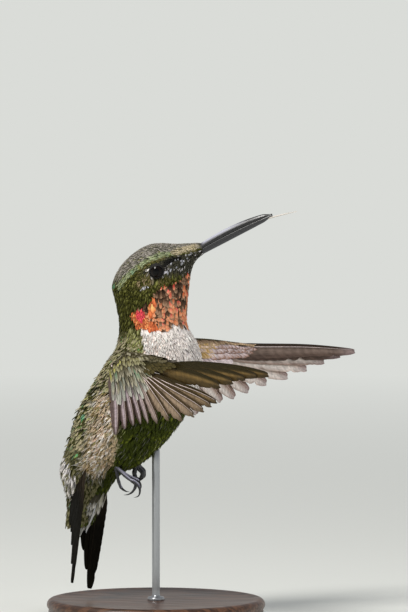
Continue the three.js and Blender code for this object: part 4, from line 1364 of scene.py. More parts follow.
def quill(place, s, d, h, angle, length, width, blunt, bow, shaft_at, paint, strip, notches, shaft_colour,
          shaft_size):
    """One large feather: both faces of its two vanes, and the shaft standing out above and below.

    shaft_at: where the shaft runs across the width, -1 at the leading edge to 1 at the trailing one.
    paint(t, k, face): colours of the vanes. strip: this feather's first and last place across the
    bake map. notches: (t, depth) of the splits in the trailing vane.
    """
    t = 1 - (1 - np.linspace(0, 1, QUILL_ROWS)) ** 1.2
    k = np.array([-1, -0.9, -0.6, -0.25, 0, 0.25, 0.5, 0.75, 0.92, 1.0])
    k = np.where(k < 0, shaft_at + k * (shaft_at + 1), shaft_at + k * (1 - shaft_at))
    grid_t, grid_k = np.meshgrid(t, k, indexing="ij")
    half = np.maximum(width / 2 * vane_width(grid_t, blunt), 0.1)
    ripple = 0.02 * np.sin(grid_t * 90 + angle) + 0.015 * np.sin(grid_t * 211 + s)
    trail = np.clip((grid_k - shaft_at) / (1 - shaft_at), 0, 1)
    for at, deep in notches:
        ripple = ripple - deep * np.exp(-(((grid_t - at) * length / 0.35) ** 2))
    across = half * grid_k * (1 + ripple * trail)
    turn = math.radians(angle)
    reach = grid_t * length
    bulge = -bow * length * 4 * grid_t * (1 - grid_t)
    cs = s + reach * math.cos(turn) - (bulge + across) * math.sin(turn)
    cd = d + reach * math.sin(turn) + (bulge + across) * math.cos(turn)
    off = np.abs(grid_k - shaft_at)
    arch = VANE_ARCH - 0.16 * off**2 * np.where(grid_k > shaft_at, 1, 1.4)
    thick = VANE_THICK * (1 - 0.8 * np.clip(off, 0, 1))
    top = place(cs, cd, h + arch + thick / 2)
    low = place(cs, cd, h + arch - thick / 2 - 0.012)
    points, quads = loft(np.concatenate([top, low[:, ::-1]], axis=1))
    tint = np.concatenate([paint(grid_t, grid_k, 1), paint(grid_t, grid_k, -1)[:, ::-1]], axis=1)
    uv_face = np.stack([across, reach], -1)
    uv = np.concatenate([uv_face, uv_face[:, ::-1]], axis=1)
    left, right = strip
    middle = (left + right) / 2
    across01 = (grid_k + 1) / 2
    up = 0.01 + 0.97 * grid_t
    bake = np.concatenate([
        np.stack([lerp(left, middle - 0.1 * (right - left), across01), up], -1),
        np.stack([lerp(right - 0.06 * (right - left), middle, across01), up], -1)[:, ::-1]], axis=1)
    parts = [[points, quads, tint.reshape(-1, 3), uv.reshape(-1, 2), bake.reshape(-1, 2)]]
    for face in (1, -1):
        st = np.linspace(0, 0.985, SHAFT_ROWS)
        b = -bow * length * 4 * st * (1 - st) + width / 2 * vane_width(st, blunt) * shaft_at
        ss = s + st * length * math.cos(turn) - b * math.sin(turn)
        sd = d + st * length * math.sin(turn) + b * math.cos(turn)
        line = place(ss, sd, h + VANE_ARCH + face * 0.035)
        radius = lerp(0.15, 0.035, st**0.8) * shaft_size
        ring_points, ring_quads = loft(tube(line, radius, SHAFT_SIDES, up=(0.13, 0.21, 0.97)))
        ring_t = np.repeat(st, SHAFT_SIDES)[:, None]
        ring_tint = np.broadcast_to(shaft_colour, ring_points.shape) * lerp(1.0, 0.75, ring_t)
        ring_uv = np.column_stack([np.zeros(len(ring_t)), ring_t[:, 0] * length])
        low_x = middle + (-0.07 if face > 0 else -0.03) * (right - left)
        round_map = np.tile(np.linspace(0, 0.03, SHAFT_SIDES), SHAFT_ROWS)
        ring_bake = np.column_stack([low_x + round_map * (right - left), 0.01 + 0.97 * ring_t[:, 0]])
        parts.append([ring_points, ring_quads, ring_tint, ring_uv, ring_bake])
    return merged(parts)


def streaks(t, k, length, seed):
    """Soft streaks that run out along the barbs of a vane, from 0 to 1."""
    local = np.random.default_rng(seed)
    along = t * length - np.abs(k) * 1.6
    value = np.zeros_like(t)
    for n in range(5):
        value += np.sin(along * 9 * (0.35 + 0.4 * n) + local.uniform(0, 6.3)) * local.uniform(0.4, 1)
    return 0.5 + 0.5 * np.tanh(value * 0.6)


# The golden trailing vanes of the right wing's outer primaries are painted light shining through them. The
# dark edge colours that the pale stripes give way to are partly the feathers' own edges and partly painted
# shade in the gaps between them.
WING_TINTS = {
    "right": colours(
        outer_lead=(46, 38, 12), outer_trail=(128, 102, 58), outer_edge=(58, 46, 20),
        inner_lead=(72, 57, 32), inner_trail=(160, 138, 116), inner_edge=(92, 74, 52),
        second_lead=(70, 54, 46), second_trail=(196, 178, 184), second_edge=(74, 56, 46),
        shaft=(238, 218, 214), outer_shaft=(70, 56, 28), tip=(52, 42, 26), under=(150, 138, 130),
    ),
    "left": colours(
        outer_lead=(62, 50, 42), outer_trail=(132, 114, 104), outer_edge=(74, 58, 50),
        inner_lead=(140, 114, 100), inner_trail=(228, 218, 210), inner_edge=(150, 116, 98),
        second_lead=(170, 148, 142), second_trail=(224, 204, 210), second_edge=(140, 112, 106),
        shaft=(236, 216, 210), outer_shaft=(236, 216, 212), tip=(150, 132, 132), under=(74, 64, 46),
    ),
}
# The primaries between which colours change from those of the inner group to those of the outer.
OUTER_FROM = {"right": (1.5, 5), "left": (6.5, 8)}
# Where the shaft runs across a feather, from -1 at its leading edge, innermost and outermost primary.
SHAFT_AT = {"right": (-0.62, -0.5), "left": (-0.45, -0.55)}
# The pale stripe of a trailing vane: its middle and half its width, and how far it gives way beside them.
STRIPES = {
    "right": {"outer": (0.3, 0.14, 0.85), "inner": (0.42, 0.5, 0.4), "second": (0.2, 0.16, 0.9)},
    "left": {"outer": (0.35, 0.2, 0.85), "inner": (0.62, 0.34, 0.85), "second": (0.4, 0.3, 0.8)},
}


def remex_paint(side_name, primary, index, length, shaft_at):
    """Colours of a wing feather. The near face is the outer one on the right wing, the inner on the left."""
    tints = WING_TINTS[side_name]
    first, last = OUTER_FROM[side_name]
    outer = float(np.clip((index - first) / (last - first), 0, 1)) if primary else 0.0
    inner = 1.0 if primary else max(0.0, 1 - index / 2.5)

    kinds = ("second", "inner", "outer")

    def shade(values):
        second, middle, far = values
        return lerp(lerp(second, middle, inner), far, outer)

    def tinted(part):
        return shade([tints[f"{kind}_{part}"] for kind in kinds])

    lead, trail, edge = tinted("lead"), tinted("trail"), tinted("edge")
    middle, wide, narrow = shade([np.array(STRIPES[side_name][kind]) for kind in kinds])
    seed = index + (20 if primary else 50) + (100 if side_name == "left" else 0)

    def paint(t, k, face):
        beyond = np.clip((k - shaft_at) / (1 - shaft_at), 0, 1)
        before = np.clip((shaft_at - k) / (1 + shaft_at), 0, 1)
        stripe = lerp(1, np.exp(-(((beyond - middle) / wide) ** 2)), narrow)[..., None]
        colour = np.where((k > shaft_at)[..., None], edge + (trail - edge) * stripe, lead)
        # Painted shade: the trailing vane darkens just beside the shaft, in its shadow, and the leading vane
        # darkens towards its edge, where the neighbouring feather covers it.
        beside = np.exp(-((beyond / 0.1) ** 2)) * (k > shaft_at)
        colour = colour + (lead * 0.6 - colour) * (beside * 0.7)[..., None]
        colour = colour + (lead * 0.6 - colour) * (smooth(before / 0.9) * 0.5)[..., None]
        colour = colour + (lead * 0.7 - colour) * (smooth((0.3 - t) / 0.3) * 0.6)[..., None]
        colour = colour + (tints["tip"] - colour) * (smooth((t - 0.86) / 0.14) * 0.6)[..., None]
        colour = colour * (0.74 + 0.52 * streaks(t, k, length, seed))[..., None]
        other = face > 0 if side_name == "left" else face < 0
        return colour * 0.5 + tints["under"] * 0.5 if other else colour
    return paint


def bake_strip(i, count, gap):
    """The first and last place across a bake map of the feather numbered i out of so many."""
    return i / count + gap, (i + 1) / count - gap


QUILL_SEED = {"right": 31, "left": 32}


def through(values, t):
    """A value that changes along a fan through those of its first, middle and last feather."""
    first, middle, last = values
    return first * (1 - t) * (1 - 2 * t) + 4 * middle * t * (1 - t) + last * t * (2 * t - 1)


def fan(count, s, d, angle, length, width):
    """The feathers of one fan, each with the s and d of its root, its angle, length and width."""
    shares = [i / (count - 1) for i in range(count)]
    return [(lerp(*s, t), d, through(angle, t), through(length, t), lerp(*width, t)) for t in shares]


def wing_quills(side_name):
    pose, place = POSE[side_name], wing_placer(side_name)
    tints = WING_TINTS[side_name]
    hand_fans, arm_fan = fan(**pose["inner"]) + fan(**pose["outer"]), fan(**pose["arm"])
    last = len(hand_fans) - 1
    local = np.random.default_rng(QUILL_SEED[side_name])

    def one(primary, i, s, d, angle, length, width, height, blunt, bow, shaft_at, shaft, shaft_size, split):
        """The feather numbered i of its kind; split is how many notches, and their range along and deep."""
        count, along, deep = split
        notches = [(local.uniform(*along), local.uniform(*deep)) for _ in range(count)]
        paint = remex_paint(side_name, primary, i, length, shaft_at)
        strip = bake_strip(i if primary else i + len(hand_fans), len(hand_fans) + len(arm_fan), 0.003)
        return quill(place, s, d, height, angle, length, width, blunt, bow, shaft_at, paint, strip, notches,
                     shaft, shaft_size)

    primaries, secondaries = [], []
    for i, feather in enumerate(hand_fans):
        blunt, shaft_at = (lerp(*ends[side_name], i / last) for ends in (PRIMARY_BLUNT, SHAFT_AT))
        shaft = tints["outer_shaft"] if i >= OUTER_FROM[side_name][1] else tints["shaft"]
        primaries.append(one(
            True, i, *feather, height=0.5 - 0.12 * i, blunt=blunt, bow=0.008, shaft_at=shaft_at,
            shaft=shaft, shaft_size=0.8, split=(3, (0.45, 0.95), (0.12, 0.4))))
    for i, feather in enumerate(arm_fan):
        secondaries.append(one(
            False, i, *feather, height=0.5 + 0.06 * (i + 1), blunt=SECONDARY_BLUNT, bow=0.01,
            shaft_at=SHAFT_AT[side_name][0], shaft=tints["shaft"], shaft_size=0.7,
            split=(2, (0.5, 0.95), (0.15, 0.4))))
    return primaries, secondaries


def quill_piece(name, sets, made, slot, *replaced):
    points, quads, tint, uv, bake = merged(sets)
    luck = np.concatenate([np.full(len(one[0]), k * GOLDEN % 1) for k, one in enumerate(sets)])
    extra = {"gloss": np.full(len(points), 0.1), "luck": luck}
    piece = new_piece(name, points, quads, made, np.clip(tint, 0, 1), uv, fill_map(bake), None, extra)
    return dress(piece, slot, *replaced)


def tail_quills(side_name):
    place = tail_placer(side_name)
    sets = []
    for i, length in enumerate(TAIL["lengths"]):
        reach = length - TAIL["start"]
        shaft_at = -0.2 - 0.06 * i

        def paint(t, k, face, i=i, reach=reach):
            colour = np.ones(t.shape + (3,)) * TINTS["tail"]
            warm = smooth((0.5 - t) / 0.45) * (0.25 + 0.5 * streaks(t, k, reach, 230 + i))
            colour = colour + (TINTS["tail_warm"] - colour) * (warm * 0.6)[..., None]
            return colour * (0.65 + 0.7 * streaks(t, k, reach, 200 + i))[..., None]

        notches = [(0.6 + 0.07 * i, 0.2), (0.86, 0.18)]
        sets.append(quill(
            place, s=TAIL["start"], d=0.24 + TAIL["widths"][0] / 2 + i * TAIL["spread"], h=-0.16 * i,
            angle=TAIL["fan"][i], length=reach, width=TAIL["widths"][i], blunt=2.4, bow=0,
            shaft_at=shaft_at, paint=paint, strip=bake_strip(i, len(TAIL["lengths"]), 0.004),
            notches=notches, shaft_colour=linear(34, 28, 22), shaft_size=0.9))
    return sets


# ---------------------------------------------------------------- coverts of the wings

# How the coverts rooted at s lie: degrees from straight down the wing, turning towards its tip.
LIE = {"right": ([-3, -1.5, 0, 1.5, 3, 5, 8], [2, 9, 22, 38, 60, 78, 86]),
       "left": ([-3, 3, 8, 14, 20], [4, 34, 52, 66, 80])}
# Ranges of s and -d that a bake map of coverts covers, and those of the surfaces they lie on.
MAP_ALONG, MAP_DOWN = (-4, 24), (-14, 1)
FACE_ALONG, FACE_DOWN = (-3.6, 24), (-14, 0.4)
# Rows of coverts: kind, depth of their roots, first and last s, step along, length, half width.
COVERT_ROWS = {
    "right": [
        ("great", 3.1, -3.0, 2.3, 0.46, 5.8, 0.38), ("middle", 2.1, -3.0, 2.9, 0.44, 4.5, 0.35),
        ("middle", 1.3, -3.0, 3.4, 0.42, 3.2, 0.33), ("small", 0.7, -2.9, 3.4, 0.42, 2.2, 0.32),
        ("small", 0.25, -2.8, 3.4, 0.4, 1.8, 0.3), ("hand", 2.3, 3.0, 7.0, 0.5, 2.6, 0.36),
        ("hand", 1.5, 2.8, 10.6, 0.5, 4.6, 0.38), ("hand", 0.8, 2.8, 10.8, 0.48, 3.8, 0.34),
        ("lead", 0.3, 3.0, 10.4, 0.44, 2.2, 0.3), ("lead", -0.1, -2.6, 9.2, 0.44, 1.4, 0.3),
    ],
    "left": [
        ("great", 4.2, -2.8, 10.5, 0.8, 4.6, 0.72), ("great", 3.0, -2.8, 13.6, 0.78, 3.8, 0.68),
        ("middle", 2.1, -2.8, 11.0, 0.68, 2.8, 0.56), ("middle", 1.4, -2.8, 11.5, 0.6, 2.2, 0.48),
        ("small", 0.8, -2.8, 12.0, 0.54, 1.7, 0.42), ("small", 0.35, -2.8, 12.5, 0.5, 1.5, 0.38),
        ("hand", 2.1, 10.6, 19.0, 0.72, 3.4, 0.52), ("hand", 1.3, 11.2, 19.8, 0.66, 2.8, 0.46),
        ("hand", 0.6, 12.0, 20.4, 0.6, 2.2, 0.4), ("lead", 0.05, 4.0, 20.6, 0.5, 1.5, 0.3),
    ],
}


def arm_face(side_name, face):
    """The outer (face 1) or inner face of the arm, running on over the flight feathers. p is -d."""
    pose, place = POSE[side_name], wing_placer(side_name)

    def make(p, s):
        chord, thick, drop = arm_section(pose, s)
        share = (-p + ARM["above"] - drop) / chord
        down = np.clip(share, 0, 1)
        arc = 2 * np.sqrt(np.maximum(down * (1 - down), 0))
        beyond = smooth((share - 0.45) / 0.3)
        rest = lerp(0.9, 0.3, smooth((s - 2) / 6)) if face > 0 else 0.42
        h = ARM["out"] + face * np.maximum(thick * arc * (1 - 0.5 * down), rest * beyond)
        # The outer primaries lie towards the inner face, so the coverts there lie further in.
        return place(s, -p, h - (0.72 * smooth((s - 3) / 8) if face < 0 else 0))

    def facing(points, _p, s):
        out = place(s, 0 * s + 2, 0 * s + 1) - place(s, 0 * s + 2, 0 * s)
        return face * out

    return Surface(make, FACE_DOWN, FACE_ALONG, (289, 185), facing)


# Colours of each kind of covert on each face of a wing, 1 the outer face, and those of its edge.
COVERT_TINTS = {
    ("right", 1): colours(
        small=(118, 112, 74), small_edge=(172, 166, 130), middle=(98, 92, 70), middle_edge=(180, 172, 150),
        great=(96, 92, 80), great_edge=(184, 182, 172), hand=(46, 42, 16), hand_edge=(84, 74, 42),
        lead=(52, 48, 24), lead_edge=(112, 104, 80),
    ),
    ("right", -1): colours(
        small=(110, 98, 78), small_edge=(166, 150, 128), middle=(118, 106, 90), middle_edge=(176, 162, 144),
        great=(124, 114, 102), great_edge=(182, 170, 158), hand=(110, 102, 92), hand_edge=(166, 156, 146),
        lead=(52, 48, 24), lead_edge=(112, 104, 80),
    ),
    ("left", 1): colours(
        small=(86, 88, 50), small_edge=(140, 142, 98), middle=(84, 86, 56), middle_edge=(140, 140, 112),
        great=(88, 86, 68), great_edge=(146, 142, 122), hand=(56, 50, 28), hand_edge=(98, 88, 58),
        lead=(52, 48, 24), lead_edge=(96, 88, 60),
    ),
    ("left", -1): colours(
        small=(226, 200, 184), small_edge=(204, 172, 124),
        middle=(234, 210, 198), middle_edge=(212, 180, 140),
        great=(232, 212, 216), great_edge=(240, 224, 224), hand=(226, 206, 206), hand_edge=(158, 122, 104),
        lead=(138, 114, 90), lead_edge=(190, 164, 132),
    ),
}
# Odd feathers among the coverts: of which kinds, how many of them, last s, colour.
# The blue-grey great coverts on the right wing's outer face stand for a painted bluish-green sheen.
COVERT_ODD = {
    ("right", 1): [
        ("small middle", 0.5, -0.5, linear(172, 168, 84)), ("great", 0.16, 3, linear(150, 168, 172)),
        ("great middle", 0.3, 3, linear(148, 152, 138)), ("middle", 0.12, 3, linear(124, 148, 120)),
        ("small", 0.3, 3, linear(60, 54, 32)), ("lead", 0.3, 5, linear(160, 154, 132)),
    ],
    ("right", -1): [],
    ("left", 1): [("small middle", 0.2, 12, linear(110, 130, 84))],
    ("left", -1): [
        ("small middle", 0.28, 14, linear(206, 168, 104)), ("hand", 0.25, 20, linear(238, 222, 224)),
    ],
}
# The dark feathers at the root of the left wing's under face: their last s, colour and edge.
ARMPIT, ARMPIT_TINT, ARMPIT_EDGE = 7.4, linear(48, 44, 20), linear(72, 66, 34)


def coverts(side_name, face):
    """Overlapping rows of coverts on one face of the arm, each row longer than the one above it."""
    surface, pose = arm_face(side_name, face), POSE[side_name]
    tints = COVERT_TINTS[(side_name, face)]
    sets = []
    for row, (kind, depth, first, last, step, length, half) in enumerate(COVERT_ROWS[side_name]):
        s = np.arange(first, last, step) + 0.5 * step * (row % 2)
        n = len(s)
        luck = rng.random((n, 8))
        chord, _, drop = arm_section(pose, s)
        d = np.minimum(depth + drop * np.clip(1 - depth / 5, 0.2, 1), chord + drop - 0.6)
        d = np.maximum(d + rng.normal(size=n) * 0.06, -0.35)
        size = lerp(1, 0.8, smooth((s - 11) / 9)) * (0.9 + 0.2 * luck[:, 5])
        heading = np.interp(s, *LIE[side_name]) + rng.normal(size=n) * 3
        tint = tints[kind] * (0.78 + 0.44 * luck[:, 0:1])
        edge = tints[kind + "_edge"] * (0.8 + 0.4 * luck[:, 1:2])
        for kinds, share, until, colour in COVERT_ODD[(side_name, face)]:
            odd = (luck[:, 3] < share) & (s < until) & (kind in kinds.split())
            tint = np.where(odd[:, None], colour, tint)
        if (side_name, face) == ("left", -1):
            dark = (s + 0.25 * d < ARMPIT + luck[:, 6])[:, None]
            tint, edge = np.where(dark, ARMPIT_TINT, tint), np.where(dark, ARMPIT_EDGE, edge)
        gloss = 0.06 + 0.2 * (face > 0) * (luck[:, 2] < 0.3)
        bake = on_map(s, MAP_ALONG, -d, MAP_DOWN)
        long = kind in ("great", "middle")
        sets.append(feathers(
            surface, -d, s, heading, length=length * size, half=half * size, depth=0.2 * size, lift=0.05,
            curl=0.02, camber=0.22, fray=0.06, outline="square" if kind == "great" else "round", tint=tint,
            edge=edge, gloss=gloss, bake=bake, base=0.03 + 0.012 * row,
            shaft=tint * 0.62 if long else None, root=0.45))
    return sets


# Marginal coverts: mm between them, degrees between their lines, and how far round the last line is.
MARGIN_STEP, MARGIN_TURN, MARGIN_WRAP = 0.52, 16.0, 64


def marginal_coverts(side_name):
    """Small feathers wrapped over the leading edge, lying towards the tip of the wing."""
    place, pose = wing_placer(side_name), POSE[side_name]
    make = arm_points(side_name, place)
    surface = RoundSurface(lambda p, q: make(-p, q), (-24, 3.4), ROUND, (220, 181), from_middle)
    last = pose["hand"]["end"] - 1.2
    lines = np.arange(-MARGIN_WRAP, MARGIN_WRAP + 1, MARGIN_TURN)
    s, q = np.meshgrid(np.arange(-3.0, last, MARGIN_STEP), lines, indexing="ij")
    s = s + MARGIN_STEP / 2 * (np.round(q / MARGIN_TURN) % 2)
    s, q = s.ravel(), q.ravel()
    n = len(s)
    luck = rng.random((n, 3))
    tints = COVERT_TINTS[(side_name, 1)]
    tint = tints["lead"] * (0.7 + 0.6 * luck[:, 0:1])
    edge = tints["lead_edge"] * (0.7 + 0.5 * luck[:, 1:2])
    size = lerp(1, 0.72, smooth((s - 3) / 12))
    strip = 0.985 - 0.06 * (q + MARGIN_WRAP) / (2 * MARGIN_WRAP)
    bake = np.column_stack([in_unit(s, *MAP_ALONG), strip])
    return [feathers(
        surface, -s, q, heading=0, length=1.5 * size, half=0.34 * size, depth=0.14, lift=0.03, curl=0.02,
        camber=0.2, fray=0.08, outline="round", tint=tint, edge=edge, gloss=0.08, bake=bake, base=0.02)]


# ---------------------------------------------------------------- coverts of the tail


def undertail_surface():
    """A flattened cone under the root of the tail."""
    def make(p, q):
        share = np.clip(-p, 0, 1.25)
        t = np.minimum(share, 1) ** 2
        a = np.radians(q)
        x = lerp(-11.6, -14.4, share) - lerp(2.2, 0.6, t) * np.cos(a)
        y = lerp(3.2, 1.2, t) * np.sin(a)
        return np.stack([x, y, lerp(24.5, 16.8, share)], -1)
    return RoundSurface(make, (-1.25, 0), ROUND, (120, 181), from_middle)


# Rows of coverts under the tail: p, length, half width, and how many would go all the way round.
UNDERTAIL_ROWS = [(-0.05, 3.2, 0.75, 15), (-0.22, 3.4, 0.8, 13), (-0.4, 3.6, 0.8, 11), (-0.6, 3.2, 0.75, 7)]
UNDERTAIL_BARE = 62  # degrees to either side of the dorsal line where none grow
# The longest coverts under the tail: p, q, heading, length, half width, colour, edge.
LONG_UNDERTAIL = [
    (-0.28, -96, 6, 8.4, 0.85, linear(50, 50, 34), linear(196, 196, 190)),
    (-0.3, -128, -6, 6.2, 0.8, linear(84, 84, 66), linear(218, 218, 220)),
    (-0.3, 104, -6, 7.6, 0.85, linear(50, 50, 34), linear(196, 196, 190)),
]


def undertail_coverts():
    """Long soft coverts, pale edged round a dark middle."""
    surface = undertail_surface()
    sets = []
    for row, (p, length, half, count) in enumerate(UNDERTAIL_ROWS):
        q = (np.arange(count) + 0.5 * (row % 2)) * 360 / count - 180
        q = q[np.abs(q) > UNDERTAIL_BARE]
        n = len(q)
        luck = rng.random((n, 4))
        dark = luck[:, 0:1] < 0.6
        tint = np.where(dark, linear(64, 60, 46), linear(150, 146, 128)) * (0.8 + 0.4 * luck[:, 1:2])
        edge = linear(206, 202, 192) * (0.8 + 0.3 * luck[:, 2:3])
        bake = on_map(q, ROUND, p + 0 * q, (-1, 0))
        sets.append(feathers(
            surface, p + 0 * q, q, heading=rng.normal(size=n) * 5, length=length * (0.9 + 0.2 * luck[:, 3]),
            half=half, depth=0.3, lift=0.1, curl=0, camber=0.3, fray=0.1, outline="round", tint=tint,
            edge=edge, gloss=0.05, bake=bake))
    for p, q, heading, length, half, tint, edge in LONG_UNDERTAIL:
        p, q = np.array([[p], [q]], float)
        sets.append(feathers(
            surface, p, q, heading, length, half, depth=0.2, lift=0.25, curl=0, camber=0.2, fray=0.06,
            outline="round", tint=tint[None], edge=edge[None], gloss=0.05,
            bake=on_map(q, ROUND, p, (-1, 0)), base=0.12, shaft=edge[None]))
    return sets


# ---------------------------------------------------------------- feet and stand

# Each foot: its ankle, then the knots of each digit as x, y out from the ankle, and z.
TOES = {
    "right": ((-6.9, -4.5, 29.7), [
        [[-5.4, 0.3, 28.5], [-4.0, 0.5, 27.4], [-2.5, 0.6, 26.7], [-1.8, 0.6, 25.4], [-2.1, 0.5, 24.2],
         [-3.1, 0.5, 23.8]],
        [[-5.2, -0.2, 28.2], [-3.9, -0.2, 27.2], [-2.9, -0.2, 26.2], [-3.3, -0.2, 25.1], [-4.2, -0.2, 24.4],
         [-5.3, -0.2, 24.2]],
        [[-5.3, -0.6, 28.4], [-3.9, -0.9, 27.6], [-2.5, -1.0, 26.9], [-2.0, -1.0, 25.8], [-2.4, -1.0, 24.9]],
        [[-6.5, 0.1, 28.2], [-6.1, 0.1, 26.7], [-5.6, 0.1, 25.6], [-4.7, 0.2, 25.0], [-3.9, 0.3, 24.9]],
    ]),
    "left": ((-5.6, 4.5, 30.2), [
        [[-4.7, 0.4, 28.9], [-3.9, 0.5, 28.1], [-3.9, 0.5, 27.1], [-4.7, 0.5, 26.6], [-5.4, 0.5, 27.0]],
        [[-4.7, -0.2, 28.7], [-3.9, -0.2, 27.8], [-4.1, -0.2, 26.8], [-4.9, -0.2, 26.3], [-5.6, -0.2, 26.7]],
        [[-5.2, -0.8, 28.6], [-5.3, -0.9, 27.6], [-5.0, -0.9, 26.8], [-4.5, -0.8, 26.3], [-4.0, -0.6, 26.5]],
    ]),
}
CLAW_SHARE = 0.3  # share of each digit's length that is claw
TOE_ROWS, TOE_SIDES = 110, 14
SCUTE_PITCH, SCUTE_HIGH = 0.34, 0.018
TOE_THICK = {"right": 0.34, "left": 0.54}  # half the thickness of a digit at its root
TOE_HIGHLIGHT = {"right": 0.75, "left": 0.1}  # how much painted highlight the upper side of its digits shows, most on the scutes


def foot(side_name):
    """Digits ringed with scutes over soft pads, each ending in a hooked claw."""
    ankle, toes = TOES[side_name]
    side = SIDE[side_name]
    parts = []
    for toe in toes:
        knots = np.array([ankle] + [[x, ankle[1] + y * side, z] for x, y, z in toe], float)
        line = catmull(knots, np.linspace(0, len(knots) - 1, 400))
        run = np.concatenate([[0], np.cumsum(np.linalg.norm(np.diff(line, axis=0), axis=1))])
        even = np.linspace(0, run[-1], TOE_ROWS)
        line = np.stack([np.interp(even, run, line[:, i]) for i in range(3)], -1)
        t = np.linspace(0, 1, TOE_ROWS)
        joints = sum(0.05 * np.exp(-(((t - at) / 0.035) ** 2)) for at in (0.28, 0.5, 0.66))
        scute = np.abs(np.sin(t * run[-1] * math.pi / SCUTE_PITCH))
        thick = TOE_THICK[side_name]
        flesh = lerp(thick, thick * 0.74, t / (1 - CLAW_SHARE)) + joints + SCUTE_HIGH * scute
        claw_t = np.clip((t - (1 - CLAW_SHARE)) / CLAW_SHARE, 0, 1)
        claw = thick * 0.7 * (1 - claw_t**1.3) + 0.012
        radius = np.where(claw_t > 0, claw, flesh)
        points, quads = loft(tube(line, radius, TOE_SIDES))
        is_claw = np.repeat(claw_t > 0, TOE_SIDES)[:, None]
        ridge = np.repeat(scute, TOE_SIDES)
        # Painted highlight: the upper side of each digit, most of all its scutes, is pale lilac where light
        # falls on it, and the underside stays dark.
        above = unit(points - np.repeat(line, TOE_SIDES, axis=0))[:, 2]
        pale = (smooth((above - 0.1) / 0.6) * (0.35 + 0.65 * ridge))[:, None] * TOE_HIGHLIGHT[side_name]
        tint = np.where(is_claw, linear(8, 8, 10), lerp(linear(12, 12, 14), linear(184, 182, 202), pale))
        parts.append([points, quads, tint])
    points, quads, tint = merged(parts)
    piece = new_piece(f"foot_{side_name}_digits", points, quads, foot_made, tint)
    return dress(piece, "foot", f"foot_{side_name}")


def turned(profile, sides=192):
    """A solid of revolution about Z from its outline, closed on the axis with small rings."""
    a = np.linspace(0, 2 * np.pi, sides, endpoint=False)
    r, z = np.array(profile).T
    rings = np.stack([r[:, None] * np.cos(a), r[:, None] * np.sin(a), z[:, None] + 0 * a], -1)
    return loft(rings)


def stand_base():
    """A turned walnut disc with a rounded foot, a quirk under its rim and a softly dished top."""
    corner = lambda x, z, r, start, end, n=9: [
        (x + r * math.cos(w), z + r * math.sin(w)) for w in np.radians(np.linspace(start, end, n))]
    profile = [(0.05, 0.12), (17.5, 0.12), (17.9, 0.0), (20.2, 0.0)]
    profile += corner(20.2, 0.7, 0.7, -90, 20)
    profile += [(20.72, 1.12), (20.35, 1.3), (20.35, 1.42), (20.7, 1.55)]
    profile += corner(19.9, 2.9, 1.1, -50, 90, 16)
    profile += [(19.2, 3.98), (18.7, 3.86), (12, 3.72), (2.0, 3.66), (1.1, 3.66), (0.05, 3.66)]
    points, quads = turned(profile)
    return dress(new_piece("stand_turned_base", points, quads, wood_made), "stand_wood", "stand_base")


ROD_RADIUS = 0.75


def stand_rod():
    """The steel rod, with a small collar where it enters the wood."""
    _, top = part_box("stand_rod")
    top = top.z / MM
    profile = [(0.03, 3.4), (1.5, 3.4), (1.62, 3.5), (1.62, 4.15), (1.5, 4.3), (0.95, 4.42), (0.8, 4.55)]
    profile += [(ROD_RADIUS, z) for z in (4.75, *np.linspace(6, top - 0.2, 12))] + [(0.6, top), (0.03, top)]
    points, quads = turned(profile, 64)
    return dress(new_piece("stand_steel_rod", points, quads, steel_made), "stand_steel", "stand_rod")


# ---------------------------------------------------------------- camera, light and sweep

# The camera: degrees round from -Y towards +X, degrees up, the point it looks at and its distance, mm.
AZIMUTH, ELEVATION = 15, 4
TARGET = (7.94, 6.04, 60.10)
CAMERA_AWAY = 1500
FRAME_TALL = 117.6923  # mm that the picture's height spans at the target
SENSOR = 36
LAMP_TARGET = (0, 0, 50)


def add_camera():
    data = bpy.data.cameras.new("camera")
    data.sensor_width = SENSOR
    data.sensor_fit = "AUTO"
    data.lens = SENSOR * CAMERA_AWAY / FRAME_TALL
    data.clip_end = 100
    bpy.context.scene.camera = looking("camera", data, TARGET, AZIMUTH, ELEVATION, CAMERA_AWAY)


def add_lamp(name, azimuth, elevation, away, size, power, colour, glints=True):
    data = bpy.data.lights.new(name, "AREA")
    data.shape = "DISK"
    data.size = size * MM
    data.energy = power
    data.color = colour
    looking(name, data, LAMP_TARGET, azimuth, elevation, away).visible_glossy = glints


FLOOR_RADIUS, SWEEP_RADIUS, SWEEP_SIDES = 2600, 600, 96


def add_stage():
    """A round floor that curves up all round into a low wall."""
    bend = np.linspace(0, np.pi / 2, 16)[1:]
    radii = np.concatenate([np.linspace(1, FLOOR_RADIUS, 16), FLOOR_RADIUS + SWEEP_RADIUS * np.sin(bend)])
    heights = np.concatenate([np.zeros(16), SWEEP_RADIUS * (1 - np.cos(bend))])
    points, _ = turned(np.column_stack([radii, heights]), SWEEP_SIDES)
    sweep = new_piece("sweep", points, grid_quads(len(radii), SWEEP_SIDES, True), stage_material())


def add_world():
    world = bpy.data.worlds.new("soft light")
    world.use_nodes = True
    back = world.node_tree.nodes["Background"]
    back.inputs["Color"].default_value = (0.94, 0.97, 1.0, 1)
    back.inputs["Strength"].default_value = 0.4
    bpy.context.scene.world = world


# ---------------------------------------------------------------- assembly

add_camera()
add_world()
add_stage()
add_lamp("key", azimuth=-30, elevation=50, away=700, size=240, power=3.9, colour=(1, 0.98, 0.94))
add_lamp("fill", azimuth=60, elevation=20, away=800, size=600, power=2.2, colour=(0.97, 0.98, 1),
         glints=False)
bpy.context.scene.view_settings.view_transform = "Standard"

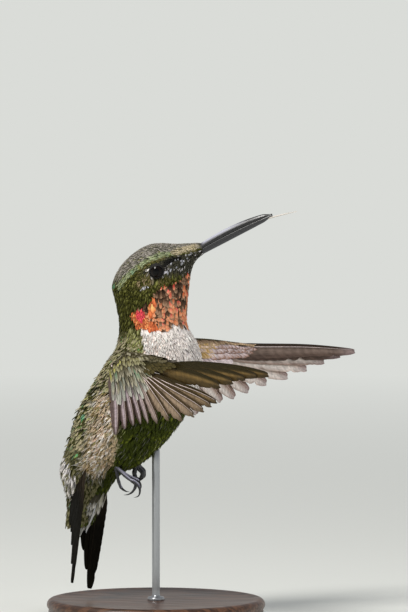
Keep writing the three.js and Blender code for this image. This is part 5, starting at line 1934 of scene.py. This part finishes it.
plumage_made = plumage_material("plumage")
down_made = plumage_material("soft plumage", chevron=0.5, contrast=0.14, roughness=0.75, pitch=0.24)
vane_made = plumage_material("flight feather vanes", chevron=1.5, contrast=0.16, streak=0.2, roughness=0.5,
                             pitch=0.2)
tail_made = plumage_material("tail feather vanes", chevron=1.3, streak=0.35, specular=0.04, pitch=0.2)
skin_made = skin_material()
eye_made = eye_material()
bill_made = horn_material("bill horn", linear(6, 6, 7), linear(24, 23, 24), 0.3, (0.25, 1, 1))
foot_made = horn_material("scaled toes", linear(8, 8, 10), linear(30, 30, 34), 0.3)
tongue_made = horn_material("tongue", linear(206, 198, 188), linear(228, 220, 214), 0.4)
wood_made = wood_material()
steel_made = steel_material()

FLESH = ["head", "neck", "trunk", "rump"] + [f"wing_{side}_arm" for side in SIDE]
skin_sets = [body_skin()] + [eyelids(side) for side in SIDE] + [arm_skin(side) for side in SIDE]
skin_points, skin_quads, skin_tint, skin_uv = merged(skin_sets)
skin = new_piece("skin", skin_points, skin_quads, skin_made, skin_tint, None, skin_uv)
dress(skin, "plumage", *FLESH)

for name, sets in body_feathers().items():
    feather_piece(name, sets, plumage_made, "plumage")
feather_piece("plumage_filaments", filaments(), down_made, "plumage")
for side in SIDE:
    dress(eyeball(side), "eye", f"eye_{side}")
    primaries, secondaries = wing_quills(side)
    quill_piece(f"primaries_{side}", primaries, vane_made, "flight_feathers",
                f"wing_{side}_outer_primaries", f"wing_{side}_inner_primaries")
    quill_piece(f"secondaries_{side}", secondaries, vane_made, "flight_feathers", f"wing_{side}_secondaries")
    quill_piece(f"tail_feathers_{side}", tail_quills(side), tail_made, "tail_feathers", f"tail_{side}")
    sets = coverts(side, 1) + marginal_coverts(side)
    feather_piece(f"coverts_{side}_upper", sets, plumage_made, "plumage")
    feather_piece(f"coverts_{side}_under", coverts(side, -1), plumage_made, "plumage")
    foot(side)
feather_piece("coverts_undertail", undertail_coverts(), down_made, "plumage", "undertail_coverts")
mandible(True)
mandible(False)
dress(tongue_piece(), "tongue", "tongue")
stand_base()
stand_rod()
